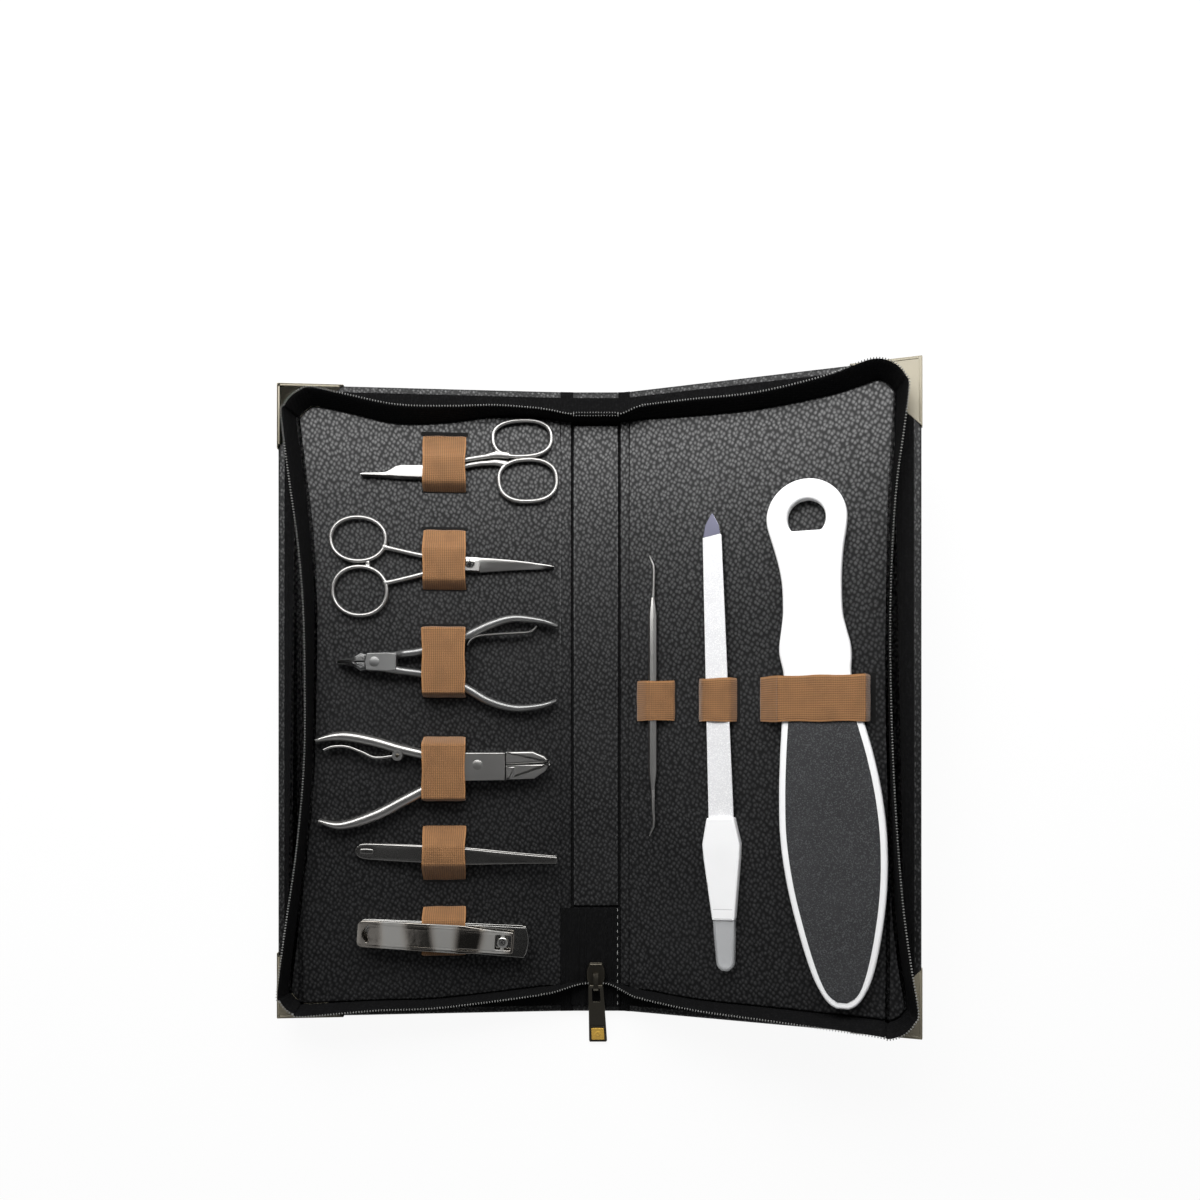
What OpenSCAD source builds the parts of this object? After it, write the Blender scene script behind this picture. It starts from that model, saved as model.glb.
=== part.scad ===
// Zipped manicure set case, open on a table, with its tools in elastic loops.
// Panel frames: u runs from a fold line towards the free edge, v along the fold, h up from the panel's back.

/* [Case] */
// Height of the covers along the fold
case_h = 280; // [272:1:300]
// Width of each cover from its fold line
cover_w = 128; // [126:1:140]
// Thickness of the cover board with its leather
cover_t = 3; // [2.5:0.1:4]
// Thickness of the grained lining
lining_t = 1.2; // [0.8:0.1:1.4]
// Distance between the two fold lines
spine_w = 26; // [26:0.5:32]
// Gap between a cover and the rounded edge of the spine board
fold_gap = 0.3; // [0.2:0.05:0.5]
// Radius of the cover corners
corner_r = 2; // [1:0.5:4]
// Angle that the left cover rises from the spine
left_lift = 4.4; // [2:0.2:10]
// Angle that the right cover rises from the spine
right_lift = 18.8; // [10:0.2:30]

/* [Zip] */
// Thickness of the zip tape
tape_t = 1; // [0.8:0.1:1.4]
// Height of the row of teeth
teeth_h = 1.6; // [1.2:0.1:2]
// Width of the row of teeth
teeth_w = 1.6; // [1.2:0.1:2]
// Distance of the end gusset from the top edge
gusset_inset = 14.2; // [14:0.1:16]
// Length of the zip tail on the spine
tail_l = 44; // [36:1:60]
// Length of the pull tab
pull_l = 26.5; // [20:0.5:30]
// Width of the pull tab at its free end
pull_w = 8.2; // [6:0.2:9]

/* [Corner caps] */
// Length of a cap's legs
cap_leg = 29; // [22:1:36]
// Thickness of the pressed sheet
cap_t = 0.4; // [0.3:0.05:0.6]

/* [Elastic loops] */
// Width of the bands
band_w = 19.6; // [16:0.2:22]
// Thickness of the bands
band_t = 0.6; // [0.4:0.05:0.7]
// Room between a band and the tool in it
band_gap = 0.15; // [0.1:0.05:0.25]

/* [Tools] */
// Gap between a tool and the lining under it
seat_gap = 0.3; // [0.2:0.05:0.4]
// Thickness of each scissors blade
blade_t = 1.7; // [1.4:0.1:1.9]
// Width of the wire of the finger rings
ring_wire = 2.3; // [1.8:0.1:2.6]
// Radius of the scissors screws
screw_r = 1.5; // [1.2:0.1:1.8]
// Thickness of the cuticle nipper at its joint
cuticle_nipper_t = 7; // [6:0.2:8]
// Thickness of the nail nipper at its joint
nail_nipper_t = 7.4; // [6.4:0.2:8]
// Radius of the nipper rivets
rivet_r = 2.2; // [1.8:0.1:2.6]
// Thickness of the tweezers' arms
arm_t = 1.2; // [0.9:0.1:1.4]
// Thickness of the clipper's leaves
leaf_t = 1.3; // [1.1:0.1:1.4]
// Radius of the clipper's turning pin
pin_r = 1.8; // [1.5:0.1:2]
// Radius of the probe's body
probe_r = 1.9; // [1.5:0.1:2]
// Thickness of the nail file's blade
file_t = 1; // [0.8:0.1:1.4]
// Thickness of the nail file's handle
handle_t = 6; // [5:0.2:6.6]
// Thickness of the foot file's paddle
paddle_t = 5; // [4:0.2:5.4]
// Radius of the foot file's head
head_r = 16.7; // [15:0.1:17]
// Radius of the hole in the foot file's head
head_hole_r = 8.1; // [6:0.1:9]
// Thickness of the abrasive pads
pad_t = 0.8; // [0.7:0.1:1]
// Running clearance of a pivot in its bore
pivot_gap = 0.06; // [0.04:0.01:0.1]

/* [Hidden] */
$fn = 48;
eps = 0.01;

leather = [0.13, 0.13, 0.14];
lining_black = [0.2, 0.2, 0.21];
tape_black = [0.07, 0.07, 0.08];
gunmetal = [0.3, 0.28, 0.25];
brass = [0.8, 0.62, 0.2];
cap_metal = [0.76, 0.73, 0.66];
elastic = [0.62, 0.43, 0.28];
steel = [0.78, 0.78, 0.8];
bright_steel = [0.88, 0.88, 0.9];
white_plastic = [0.94, 0.94, 0.95];
clear_plastic = [0.7, 0.72, 0.75];
grit = [0.2, 0.21, 0.23];

// ---- case levels, worked out from the sizes above ----
fold_h = cover_t / 2;                                   // height of a fold line in its panel
lining_top = cover_t + lining_t;
mid_h = (spine_w + 2 * fold_h) / 2;                     // height at which the closed halves meet
wall_top = mid_h - 0.25;                                // top of the teeth
tape_top = wall_top - teeth_h;
wall_start = wall_top - 2.25;                           // first wall point, clear of the folded-up gusset
gusset_top = wall_top - 2.6;
cover_start = fold_h + fold_gap;                        // near edge of a cover
lining_start = fold_h + lining_t + fold_gap;            // near edge of a lining
flap_edge = lining_top - fold_h + fold_gap;             // the flap's distance from a fold line
seat = lining_top + seat_gap;                           // height of the tools' undersides
half_h = case_h / 2;

// ---- frames ----
// The spine lies on the table, with the origin under its middle
module on_spine() translate([-spine_w / 2, 0, 0]) children();
module on_left()
    translate([-spine_w / 2, 0, fold_h]) rotate([0, left_lift, 0]) translate([0, 0, -fold_h])
        mirror([1, 0, 0]) children();
module on_right()
    translate([spine_w / 2, 0, fold_h]) rotate([0, -right_lift, 0]) translate([0, 0, -fold_h]) children();
module seated() translate([0, 0, seat]) children();

drawn_half_h = 140;                                     // half height of the case on which the tools' points are given
top_shift = half_h - drawn_half_h;                      // rows of tools that keep their distance from the top edge
foot_shift = -top_shift;                                // and those that keep it from the foot edge
module top_row() translate([0, top_shift, 0]) children();
module foot_row() translate([0, foot_shift, 0]) children();

// ---- shapes that repeat ----
function unit(p) = p / norm(p);
function along(p, i) = unit(p[min(i + 1, len(p) - 1)] - p[max(i - 1, 0)]);
function flat(p) = [for (q = p) [q[0], q[1]]];
function left_of(p, i) = let (d = along(flat(p), i)) [-d[1], d[0]];
function reversed(p) = [for (i = [len(p) - 1:-1:0]) p[i]];
function blend4(a, b, c, d, t) =
    0.5 * (2 * b + (c - a) * t + (2 * a - 5 * b + 4 * c - d) * t * t + (3 * b - a - 3 * c + d) * t * t * t);

// A smooth line through the points p, with n steps between neighbours
function smooth(p, n) = let (last = len(p) - 1) concat(
    [for (i = [0:last - 1], k = [0:n - 1])
        blend4(p[max(i - 1, 0)], p[i], p[i + 1], p[min(i + 2, last)], k / n)],
    [p[last]]);

// The outline of a band along p, whose points are [u, v, width]
function ribbon(p) = concat(
    [for (i = [0:len(p) - 1]) [p[i][0], p[i][1]] + left_of(p, i) * p[i][2] / 2],
    [for (i = [len(p) - 1:-1:0]) [p[i][0], p[i][1]] - left_of(p, i) * p[i][2] / 2]);
function narrowed(p, by) = [for (q = p) [q[0], q[1], max(q[2] - by, 0.6)]];
function ellipse(centre, radii, n = 60) =
    [for (i = [0:n - 1]) centre + [radii[0] * cos(360 * i / n), radii[1] * sin(360 * i / n)]];

module slab(low, high) translate([0, 0, low]) linear_extrude(high - low) children();
module bent_bar(points, low, high, steps = 4) slab(low, high) polygon(ribbon(smooth(points, steps)));
module disc(centre, r, low, high) translate([centre[0], centre[1], low]) cylinder(r = r, h = high - low);
module finger_ring(centre, radii, low, high)
    slab(low, high) difference() {
        polygon(ellipse(centre, radii));
        polygon(ellipse(centre, radii - [ring_wire, ring_wire]));
    }

// ---- covers and spine ----
module cover_plate(low = 0, grow = 0) {
    w = cover_w - cover_start + grow;
    slab(low, cover_t) {
        translate([cover_start, -half_h - grow]) square([w - corner_r, case_h + 2 * grow]);
        translate([cover_start, -half_h + corner_r]) square([w, case_h - 2 * corner_r]);
        for (side = [-1, 1])
            translate([cover_start + w - corner_r, side * (half_h + grow - corner_r)]) circle(corner_r);
    }
}
module cap_triangle(side) {
    x = cover_w + cap_t;
    y = side * (half_h + cap_t);
    polygon([[x, y], [x - cap_leg, y], [x, y - side * cap_leg]]);
}
module cover() color(leather)
    difference() {
        cover_plate();
        for (side = [-1, 1])
            slab(-1, cap_t) cap_triangle(side);
    }
cap_inner = [5, 8.6];                                   // width of the inner flange at the foot and at the top
module corner_caps() color(cap_metal)
    for (i = [0, 1]) {
        side = 2 * i - 1;
        difference() {
            slab(0, cover_t + cap_t) cap_triangle(side);
            difference() {
                cover_plate();
                slab(-1, cap_t) cap_triangle(side);
            }
            slab(cover_t, cover_t + 1)
                translate([0, side > 0 ? -half_h : -half_h + cap_inner[i]])
                    square([cover_w - cap_inner[i], case_h - cap_inner[i]]);
        }
    }
module spine_board() color(leather) on_spine() {
    translate([0, -half_h, 0]) cube([spine_w, case_h, cover_t]);
    for (s = [0, spine_w])
        translate([s, -half_h, fold_h]) rotate([-90, 0, 0]) cylinder(r = fold_h, h = case_h);
}
tail_end = half_h - 3;                                  // foot of the zip tail
flap_top = half_h - 17.5;                               // ends of the lining flap
flap_foot = tail_l - tail_end + 1;
module spine_flap() color(lining_black) on_spine()
    translate([flap_edge, flap_foot, cover_t])
        cube([spine_w - 2 * flap_edge, flap_top - flap_foot, lining_t]);

// ---- zip ----
// A run of the zip's foot: each point is [place along the edge from 0 to 1, inset from the edge, outward lean]
left_top_run = [[0.25, 12.7, 0.9], [0.41, 15.2, 3.2], [0.59, 16.4, 4.6], [0.76, 12, 4.2]];
left_side_run = [
    [0.68, 12.4, 4.6], [0.49, 15.2, 3.8], [0.29, 16.4, 2.6], [0.04, 16, 1.4], [-0.14, 15.5, 1],
    [-0.29, 14.6, 1.2], [-0.49, 12, 1.4], [-0.69, 8.8, 2.2]
];
left_foot_run = [[0.66, 6.8, 1.2], [0.47, 7, 1], [0.27, 9.2, 0.8]];
left_ends = [[13.1, 0.6], [11.6, 0.5]];                 // inset and lean beside the fold: top, foot
left_corners = [[10.2, 10.6, 4.4], [6.9, 6.9, 1.8]];    // side inset, end inset and lean: top, foot
right_top_run = [[0.28, 14.4, 3.2], [0.48, 14.4, 3], [0.7, 12, 4.2]];
right_side_run = [
    [0.76, 10.8, 3.6], [0.58, 12.2, 1.8], [0.29, 13, 0.6], [0, 13.2, 1], [-0.3, 12.2, 1.6],
    [-0.59, 11, 3.4], [-0.77, 8.6, 4.2]
];
right_foot_run = [[0.81, 7.4, 1.6], [0.55, 7.6, 1.2], [0.28, 8.2, 1]];
right_ends = [[13.4, 2], [10.4, 0.6]];
right_corners = [[10.2, 9.6, 3.8], [7.6, 7.6, 2.4]];
zip_corner_r = 9;

function end_point(inset, lean, side) = [wall_start, side * (half_h - inset), 0, side * lean];
function edge_run(run, side) =
    [for (p = run) [p[0] * cover_w, side * (half_h - p[1]), 0, side * p[2]]];
function side_run(run) = [for (p = run) [cover_w - p[1], p[0] * half_h, p[2], 0]];
function corner_run(c, side, angles) = [for (a = angles) [
    cover_w - c[0] - zip_corner_r * (1 - cos(a)),
    side * (half_h - c[1] - zip_corner_r * (1 - sin(a))),
    c[2] * cos(a),
    side * c[2] * sin(a)
]];
corner_angles = [80, 45, 10];
function zip_line(top, side, foot, ends, corners) = smooth(concat(
    [end_point(ends[0][0], ends[0][1], 1)],
    edge_run(top, 1),
    corner_run(corners[0], 1, corner_angles),
    side_run(side),
    corner_run(corners[1], -1, reversed(corner_angles)),
    edge_run(foot, -1),
    [end_point(ends[1][0], ends[1][1], -1)]), 3);
left_zip = zip_line(left_top_run, left_side_run, left_foot_run, left_ends, left_corners);
right_zip = zip_line(right_top_run, right_side_run, right_foot_run, right_ends, right_corners);

// A point of the wall that stands on the zip line, at height h and off outwards from the line
function wall_point(line, i, h, off) = let (
    lean = (h - cover_t) / (wall_top - cover_t),
    q = [line[i][0], line[i][1]] + lean * [line[i][2], line[i][3]] + left_of(line, i) * off
) [q[0], q[1], h];
module wall(line, low, high, inner, outer) {
    n = len(line);
    points = [for (i = [0:n - 1]) each [
        wall_point(line, i, low, inner), wall_point(line, i, low, outer),
        wall_point(line, i, high, outer), wall_point(line, i, high, inner)
    ]];
    sides = [for (i = [0:n - 2], k = [0:3]) each [
        [4 * i + k, 4 * i + (k + 1) % 4, 4 * i + 4 + k],
        [4 * i + (k + 1) % 4, 4 * i + 4 + (k + 1) % 4, 4 * i + 4 + k]
    ]];
    polyhedron(points, concat(sides, [[2, 1, 0], [3, 2, 0], [4 * n - 4, 4 * n - 3, 4 * n - 2],
        [4 * n - 4, 4 * n - 2, 4 * n - 1]]));
}
module zip_tape(line) color(tape_black) wall(line, cover_t, tape_top, 0, tape_t);
module zip_teeth(line) color(gunmetal)
    wall(line, tape_top, wall_top, (tape_t - teeth_w) / 2, (tape_t + teeth_w) / 2);
module lining(line) color(lining_black)
    slab(cover_t, lining_top) polygon(concat(
        [[lining_start, line[0][1] - fold_gap]],
        [for (i = [0:len(line) - 1]) [line[i][0], line[i][1]] - left_of(line, i) * fold_gap],
        [[lining_start, line[len(line) - 1][1] + fold_gap]]));

module top_gusset() color(tape_black) on_spine()
    translate([flap_edge, half_h - gusset_inset, cover_t])
        cube([spine_w - 2 * flap_edge, tape_t, gusset_top - cover_t]);
tail_t = 1;
tail_edge = 2;
module zip_tail() color(tape_black) on_spine()
    translate([tail_edge, -tail_end, cover_t]) cube([spine_w - 2 * tail_edge, tail_l, tail_t]);

slider_w = 9.6;
slider_l = 11;
slider_v = 17 - half_h;                                 // middle of the slider
slider_low = cover_t + tail_t + 0.1;
slider_high = slider_low + 2.6;
hinge_v = slider_v - 4.4;                               // the pull tab's axis
hinge_h = slider_high + 1.2;
bail_r = 0.7;
bail_w = 2.2;
module zip_slider() color(gunmetal) difference() {
    union() {
        slab(slider_low, slider_high) polygon([
            [-slider_w / 2, slider_v + slider_l / 2], [-slider_w / 2, slider_v], [-slider_w / 3, slider_v - slider_l / 2],
            [slider_w / 3, slider_v - slider_l / 2], [slider_w / 2, slider_v], [slider_w / 2, slider_v + slider_l / 2]
        ]);
        translate([-bail_w / 2, hinge_v - 2, slider_high - eps]) cube([bail_w, 8, hinge_h + 1.9 - slider_high]);
    }
    translate([-bail_w, hinge_v, hinge_h]) rotate([0, 90, 0]) cylinder(r = bail_r + 0.08, h = 2 * bail_w);
}
pull_t = 1;
pull_slot = [3.8, 7.2];
pull_drop = atan((hinge_h - cover_t - pull_t) / (half_h + hinge_v + 1.2));
module pull_frame()
    translate([0, hinge_v, hinge_h]) rotate([pull_drop, 0, 0]) children();
module pull_tab() color(gunmetal) pull_frame() {
    slab(-pull_t / 2, pull_t / 2) difference() {
        polygon([
            [-3.3, 0.5], [3.3, 0.5], [pull_w / 2, -pull_l], [-pull_w / 2, -pull_l]
        ]);
        translate([-pull_slot[0] / 2, -pull_slot[1]]) square([pull_slot[0], pull_slot[1] + 2]);
    }
    translate([-2.6, 0, 0]) rotate([0, 90, 0]) cylinder(r = bail_r, h = 5.2);
}
inlay = 5.2;
module pull_inlay() color(brass) pull_frame()
    slab(pull_t / 2, pull_t / 2 + 0.3) translate([-inlay / 2, -pull_l + 1.4]) square(inlay);

// ---- elastic loops ----
// A band over a tool: feet at the ends of span, raised to top between the ends of held
module band(span, held, top) {
    mid = (held[0] + held[1]) / 2;
    outer = [
        [span[0], 0], [span[0], band_t], [held[0] - band_t, top + band_t * 0.8], [held[0] + 1, top + band_t],
        [mid, top + band_t + 0.3], [held[1] - 1, top + band_t], [held[1] + band_t, top + band_t * 0.8],
        [span[1], band_t], [span[1], 0]
    ];
    inner = [
        [span[1] - 2 * band_t, 0], [held[1] + 0.2, top - 0.1], [held[1] - 1, top], [mid, top + 0.3],
        [held[0] + 1, top], [held[0] - 0.2, top - 0.1], [span[0] + 2 * band_t, 0]
    ];
    color(elastic) linear_extrude(band_w, center = true) polygon(concat(outer, inner));
}
module band_across_v(u, row_shift, span, held, tool_top)
    on_left() translate([u, row_shift, lining_top]) rotate([90, 0, 90]) band(span, held, seat_gap + tool_top + band_gap);
module band_across_u(span, held, tool_top)
    on_right() translate([0, 0, lining_top]) rotate([90, 0, 0]) band(span, held, seat_gap + tool_top + band_gap);
left_band_u = 54.8;
module cuticle_scissors_loop() band_across_v(left_band_u, top_shift, [92, 116], [96, 107], scissors_top);
module nail_scissors_loop() band_across_v(left_band_u, top_shift, [49, 75.6], [53.6, 67.4], scissors_top);
module cuticle_nipper_loop() band_across_v(left_band_u, top_shift, [0.6, 34.4], [3, 32.2], cuticle_nipper_t);
module nail_nipper_loop() band_across_v(left_band_u, foot_shift, [-49, -16], [-45, -20.6], nail_nipper_t);
module tweezers_loop() band_across_v(left_band_u, foot_shift, [-79.6, -55.9], [-72.4, -64], tweezers_top);
module clipper_loop() band_across_v(left_band_u, foot_shift, [-116, -92], [-112, -97], clipper_mid_top);
module probe_loop() band_across_u([probe_u - 8, probe_u + 10], [probe_u - 2.3, probe_u + 2.4], 2 * probe_r);
module nail_file_loop() band_across_u(
    [file_mouth[0] - 11.2, file_mouth[0] + 7], [file_mouth[0] - 8, file_mouth[0] + 3.4], file_high);
module foot_file_loop() band_across_u(
    [foot_file_sides[0] - 9.6, foot_file_sides[1] + 3.8], [foot_file_sides[0] - 1.7, foot_file_sides[1] + 1.7], paddle_top);

// ---- scissors ----
layer_gap = 0.1;
scissors_top = 2 * blade_t + layer_gap + 0.65;
ring_low = 0.6;
ring_high = ring_low + ring_wire;
// One half: its ring and shank are level with the other half's, and its blade is one of two layers
module scissors_half(pivot, centre, radii, shank, blade, upper) {
    low = upper ? blade_t + layer_gap : 0;
    other = upper ? [-1, low] : [blade_t, 10];
    clear_r = norm(flat([blade[0]])[0] - pivot) + 0.6;
    difference() {
        union() {
            finger_ring(centre, radii, ring_low, ring_high);
            difference() {
                bent_bar(shank, ring_low, ring_high);
                disc(pivot, clear_r, other[0], other[1]);
            }
            bent_bar(blade, low, low + blade_t, 3);
        }
        disc(pivot, screw_r + pivot_gap, -1, scissors_top);
    }
}
module scissors_screw(pivot) color(bright_steel) {
    disc(pivot, screw_r, 0, 2 * blade_t + layer_gap + 0.05);
    difference() {
        disc(pivot, screw_r + 0.8, 2 * blade_t + layer_gap + 0.05, scissors_top);
        slab(scissors_top - 0.25, scissors_top + 1)
            translate([pivot[0], pivot[1]]) square([0.5, 6], center = true);
    }
}
cs_pivot = [60.6, 100.9];
cs_blade = [
    [54, 101.9, 3.4], [58, 101.2, 5.6], [66, 100.7, 6.6], [74, 100.5, 6.4], [79, 100.2, 3.4], [83, 99.9, 1.9],
    [87.5, 99.7, 1.5], [91.3, 99.6, 0.5]
];
cs_upper_shank = [[30.6, 110.3, 3], [35, 108.3, 2.5], [40, 106.8, 2.2], [47, 105.1, 2.2], [54.4, 103.3, 2.2]];
cs_lower_shank = [[28.2, 105, 3], [32, 105.4, 2.5], [39, 104.4, 2.2], [47, 102.5, 2.2], [54.4, 100.7, 2.2]];
module cuticle_scissors() on_left() seated() top_row() children();
module cuticle_scissors_upper_half() color(steel) cuticle_scissors()
    scissors_half(cs_pivot, [20.5, 117], [14, 9], cs_upper_shank, cs_blade, false);
module cuticle_scissors_lower_half() color(steel) cuticle_scissors()
    scissors_half(cs_pivot, [18, 97.3], [13.9, 10.3], cs_lower_shank, cs_blade, true);
module cuticle_scissors_screw() cuticle_scissors() scissors_screw(cs_pivot);

ns_pivot = [43.5, 61.2];
ns_blade = [
    [52, 61.2, 3.6], [48, 61.3, 6], [42, 61.2, 7.2], [34, 60.8, 7], [26, 60.5, 6], [16, 60.3, 4.2], [9, 60.2, 2.4],
    [4.7, 60.2, 0.5]
];
ns_upper_shank = [[81.6, 67.9, 3], [77, 67, 2.4], [64.7, 64.4, 2.4], [51.6, 62.9, 2.4]];
ns_lower_shank = [[81.2, 52, 3], [77, 52.8, 2.4], [64.7, 56, 2.4], [51.6, 59.5, 2.4]];
module nail_scissors() on_left() seated() top_row() children();
module nail_scissors_upper_half() color(steel) nail_scissors()
    scissors_half(ns_pivot, [92.5, 71.3], [12.9, 10.6], ns_upper_shank, ns_blade, false);
module nail_scissors_lower_half() color(steel) nail_scissors()
    scissors_half(ns_pivot, [91.8, 48.4], [12.7, 11.7], ns_lower_shank, ns_blade, true);
module nail_scissors_screw() nail_scissors() scissors_screw(ns_pivot);

// ---- nippers ----
// One half of a nipper: full-thickness handle and jaw, and its own layer of the lap joint
module nipper_half(pivot, thick, clear_r, handle, box, jaw, upper) {
    own = upper ? [thick / 2 + layer_gap / 2, thick] : [0, thick / 2 - layer_gap / 2];
    other = upper ? [-1, thick / 2 + layer_gap / 2] : [thick / 2 - layer_gap / 2, thick + 1];
    difference() {
        union() {
            difference() {
                union() {
                    bent_bar(handle, 1.2, thick - 1.2);
                    slab(0.6, thick - 0.6) polygon(jaw);
                }
                disc(pivot, clear_r, other[0], other[1]);
            }
            slab(own[0], own[1]) polygon(box);
        }
        disc(pivot, rivet_r + pivot_gap, -1, thick + 1);
    }
}
cn_pivot = [84.8, 16.8];
cn_box = [[77.4, 12.6], [80, 11.9], [92, 12.4], [92, 21.2], [80, 21.7], [77.4, 21]];
cn_clear_r = 9;
cn_upper_handle = [
    [4.8, 33.3, 2.4], [12, 36, 3.6], [24.3, 37.1, 4.4], [35, 33.8, 4.4], [44.8, 29.3, 4.4], [54, 25, 4.2],
    [64, 21.7, 3.8], [72, 20.7, 3.4], [80, 19.6, 3.4]
];
cn_lower_handle = [
    [5.2, -0.3, 2.4], [12, -2.6, 3.6], [23.5, -3.6, 4.4], [35, -0.4, 4.4], [44.8, 5.4, 4.4], [54, 9.4, 4.2],
    [64, 11.8, 3.8], [72, 12.9, 3.4], [80, 14, 3.4]
];
cn_lower_jaw = [[90, 16.7], [90, 12.6], [93.5, 12.6], [96, 14.8], [101.2, 16.7]];
cn_upper_jaw = [[90, 16.9], [101.2, 16.9], [96, 18.8], [93.5, 21], [90, 21]];
cn_spring = [
    [13.4, 34.4, 0.8], [15.6, 32.6, 0.8], [20, 31.6, 0.8], [30, 31, 0.8], [38, 29.2, 0.8], [42.4, 26.6, 0.8],
    [44.6, 24.4, 0.8]
];
module cuticle_nipper() on_left() seated() top_row() children();
module cuticle_nipper_upper_half() color(steel) cuticle_nipper()
    nipper_half(cn_pivot, cuticle_nipper_t, cn_clear_r, cn_upper_handle, cn_box, cn_lower_jaw, false);
module cuticle_nipper_lower_half() color(steel) cuticle_nipper()
    nipper_half(cn_pivot, cuticle_nipper_t, cn_clear_r, cn_lower_handle, cn_box, cn_upper_jaw, true);
module cuticle_nipper_rivet() color(bright_steel) cuticle_nipper()
    disc(cn_pivot, rivet_r, 0, cuticle_nipper_t);
module cuticle_nipper_spring() color(bright_steel) cuticle_nipper()
    bent_bar(cn_spring, 2, cuticle_nipper_t - 2);

nn_pivot = [40, -28.4];
nn_box = [[30, -35.1], [46, -35.4], [49.4, -34], [49.4, -23.4], [46, -21.6], [30, -21.7]];
nn_clear_r = 12.4;
nn_upper_handle = [
    [110.2, -17.4, 3], [103, -16, 4.4], [95.7, -16, 5], [84.4, -18.3, 5], [74.6, -21.2, 4.6], [60.9, -24.4, 4.4],
    [52, -26, 4.4], [45, -27, 4.4]
];
nn_lower_handle = [
    [109, -52.8, 3], [99.3, -55.1, 4.6], [84.4, -51, 5.4], [72, -45.2, 5.2], [60.9, -39.8, 5], [52, -34.4, 4.8],
    [45, -31.6, 4.6]
];
nn_lower_jaw = [[30.5, -35.1], [30.5, -28.6], [6.3, -27.6], [8, -31], [14, -34.2]];
nn_upper_jaw = [[30.5, -28.3], [30.5, -21.7], [15, -21.6], [9, -24.4], [6.3, -27.2]];
nn_spring_pin = [75, -24.2];
nn_spring_pin_r = 0.9;
nn_spring = [[76.2, -24.4, 1], [84.7, -25.2, 1], [90.5, -22.8, 1], [97.1, -20.4, 1], [103, -20.4, 1], [107, -21.8, 1]];
module nail_nipper() on_left() seated() foot_row() children();
module nail_nipper_upper_half() color(steel) nail_nipper() difference() {
    union() {
        nipper_half(nn_pivot, nail_nipper_t, nn_clear_r, nn_upper_handle, nn_box, nn_lower_jaw, true);
        disc(nn_spring_pin, 2.2, 1.2, 2.6);
        disc(nn_spring_pin, 2.2, nail_nipper_t - 2.6, nail_nipper_t - 1.2);
    }
    disc(nn_spring_pin, nn_spring_pin_r + pivot_gap, 0, nail_nipper_t);
    disc(nn_spring_pin, 2.5, 2.6, nail_nipper_t - 2.6);
}
module nail_nipper_lower_half() color(steel) nail_nipper()
    nipper_half(nn_pivot, nail_nipper_t, nn_clear_r, nn_lower_handle, nn_box, nn_upper_jaw, false);
module nail_nipper_rivet() color(bright_steel) nail_nipper()
    disc(nn_pivot, rivet_r, 0, nail_nipper_t);
module nail_nipper_spring() color(bright_steel) nail_nipper() difference() {
    union() {
        bent_bar(nn_spring, 2.7, nail_nipper_t - 2.7);
        disc(nn_spring_pin, 2, 2.7, nail_nipper_t - 2.7);
    }
    disc(nn_spring_pin, nn_spring_pin_r + pivot_gap, 0, nail_nipper_t);
}
module nail_nipper_spring_pin() color(bright_steel) nail_nipper()
    disc(nn_spring_pin, nn_spring_pin_r, 1.2, nail_nipper_t - 1.2);

// ---- tweezers ----
tw_outline = [
    [93.6, -66.3, 1.6], [92.6, -66.3, 4.6], [90.4, -66.4, 6.6], [84, -66.8, 7.2], [60, -68, 7.4], [44, -68.9, 7],
    [30, -69.6, 5.4], [15, -70.3, 3.8], [5.2, -70.8, 3]
];
tw_hinge_u = 88;
tw_bead_r = 0.9;
tweezers_top = 5.6 + arm_t;
// The side view of the upper arm's lower face: [u, height above the lower arm]
tw_rise = [[95, 0.15], [86, 0.4], [72, 1.9], [56, 3.4], [36, 4.3], [18, 4.3], [3, 4]];
module tweezers() on_left() seated() foot_row() children();
module arm_outline() slab(-1, 12) polygon(ribbon(smooth(tw_outline, 3)));
module side_profile(points) translate([0, 10, 0]) rotate([90, 0, 0]) linear_extrude(200) polygon(points);
module tweezers_bead(r) translate([tw_hinge_u, -70.2, arm_t]) rotate([-90, 0, 0]) cylinder(r = r, h = 7);
module tweezers_lower_arm() color(steel) tweezers() {
    intersection() {
        arm_outline();
        side_profile([[0, 0], [95, 0], [95, arm_t], [0, arm_t]]);
    }
    intersection() {
        tweezers_bead(tw_bead_r);
        arm_outline();
        translate([0, -100, arm_t / 2]) cube([100, 100, 4]);
    }
}
module tweezers_upper_arm() color(steel) tweezers() difference() {
    intersection() {
        arm_outline();
        side_profile(concat(
            [for (p = tw_rise) [p[0], p[1] + arm_t]],
            [for (p = reversed(tw_rise)) [p[0], p[1] + 2 * arm_t]]));
    }
    tweezers_bead(tw_bead_r + pivot_gap);
}

// ---- nail clipper ----
// Its own frame: x from the rear end to the jaws, y across
clipper_end = [92.8, -101.6];
clipper_turn = 184.2;
clipper_l = 75.4;
clipper_rear_w = 11;
clipper_jaw_w = 13.4;
rear_x = 6;
pin_x = 64;
leaf_low = 0.6;
leaf_gap = 0.35;
leaf_rise = 2.9;
jaw_lip = 1.4;
lower_top = leaf_low + leaf_t;
lower_jaw_top = lower_top + 1.6;
function upper_low(x) = lower_top + leaf_gap + max(x - rear_x, 0) * tan(leaf_rise);
upper_jaw_low = upper_low(clipper_l) - 1;
clipper_mid_top = upper_low(48) + leaf_t;
lever_low = [clipper_mid_top + 1.15, clipper_mid_top + 2.05];   // at its free end, and just behind the pin
lever_t = 1.3;
axle_r = 0.9;
axle_h = upper_low(pin_x) + leaf_t + 2.7;
eye_r = 2.6;
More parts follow.
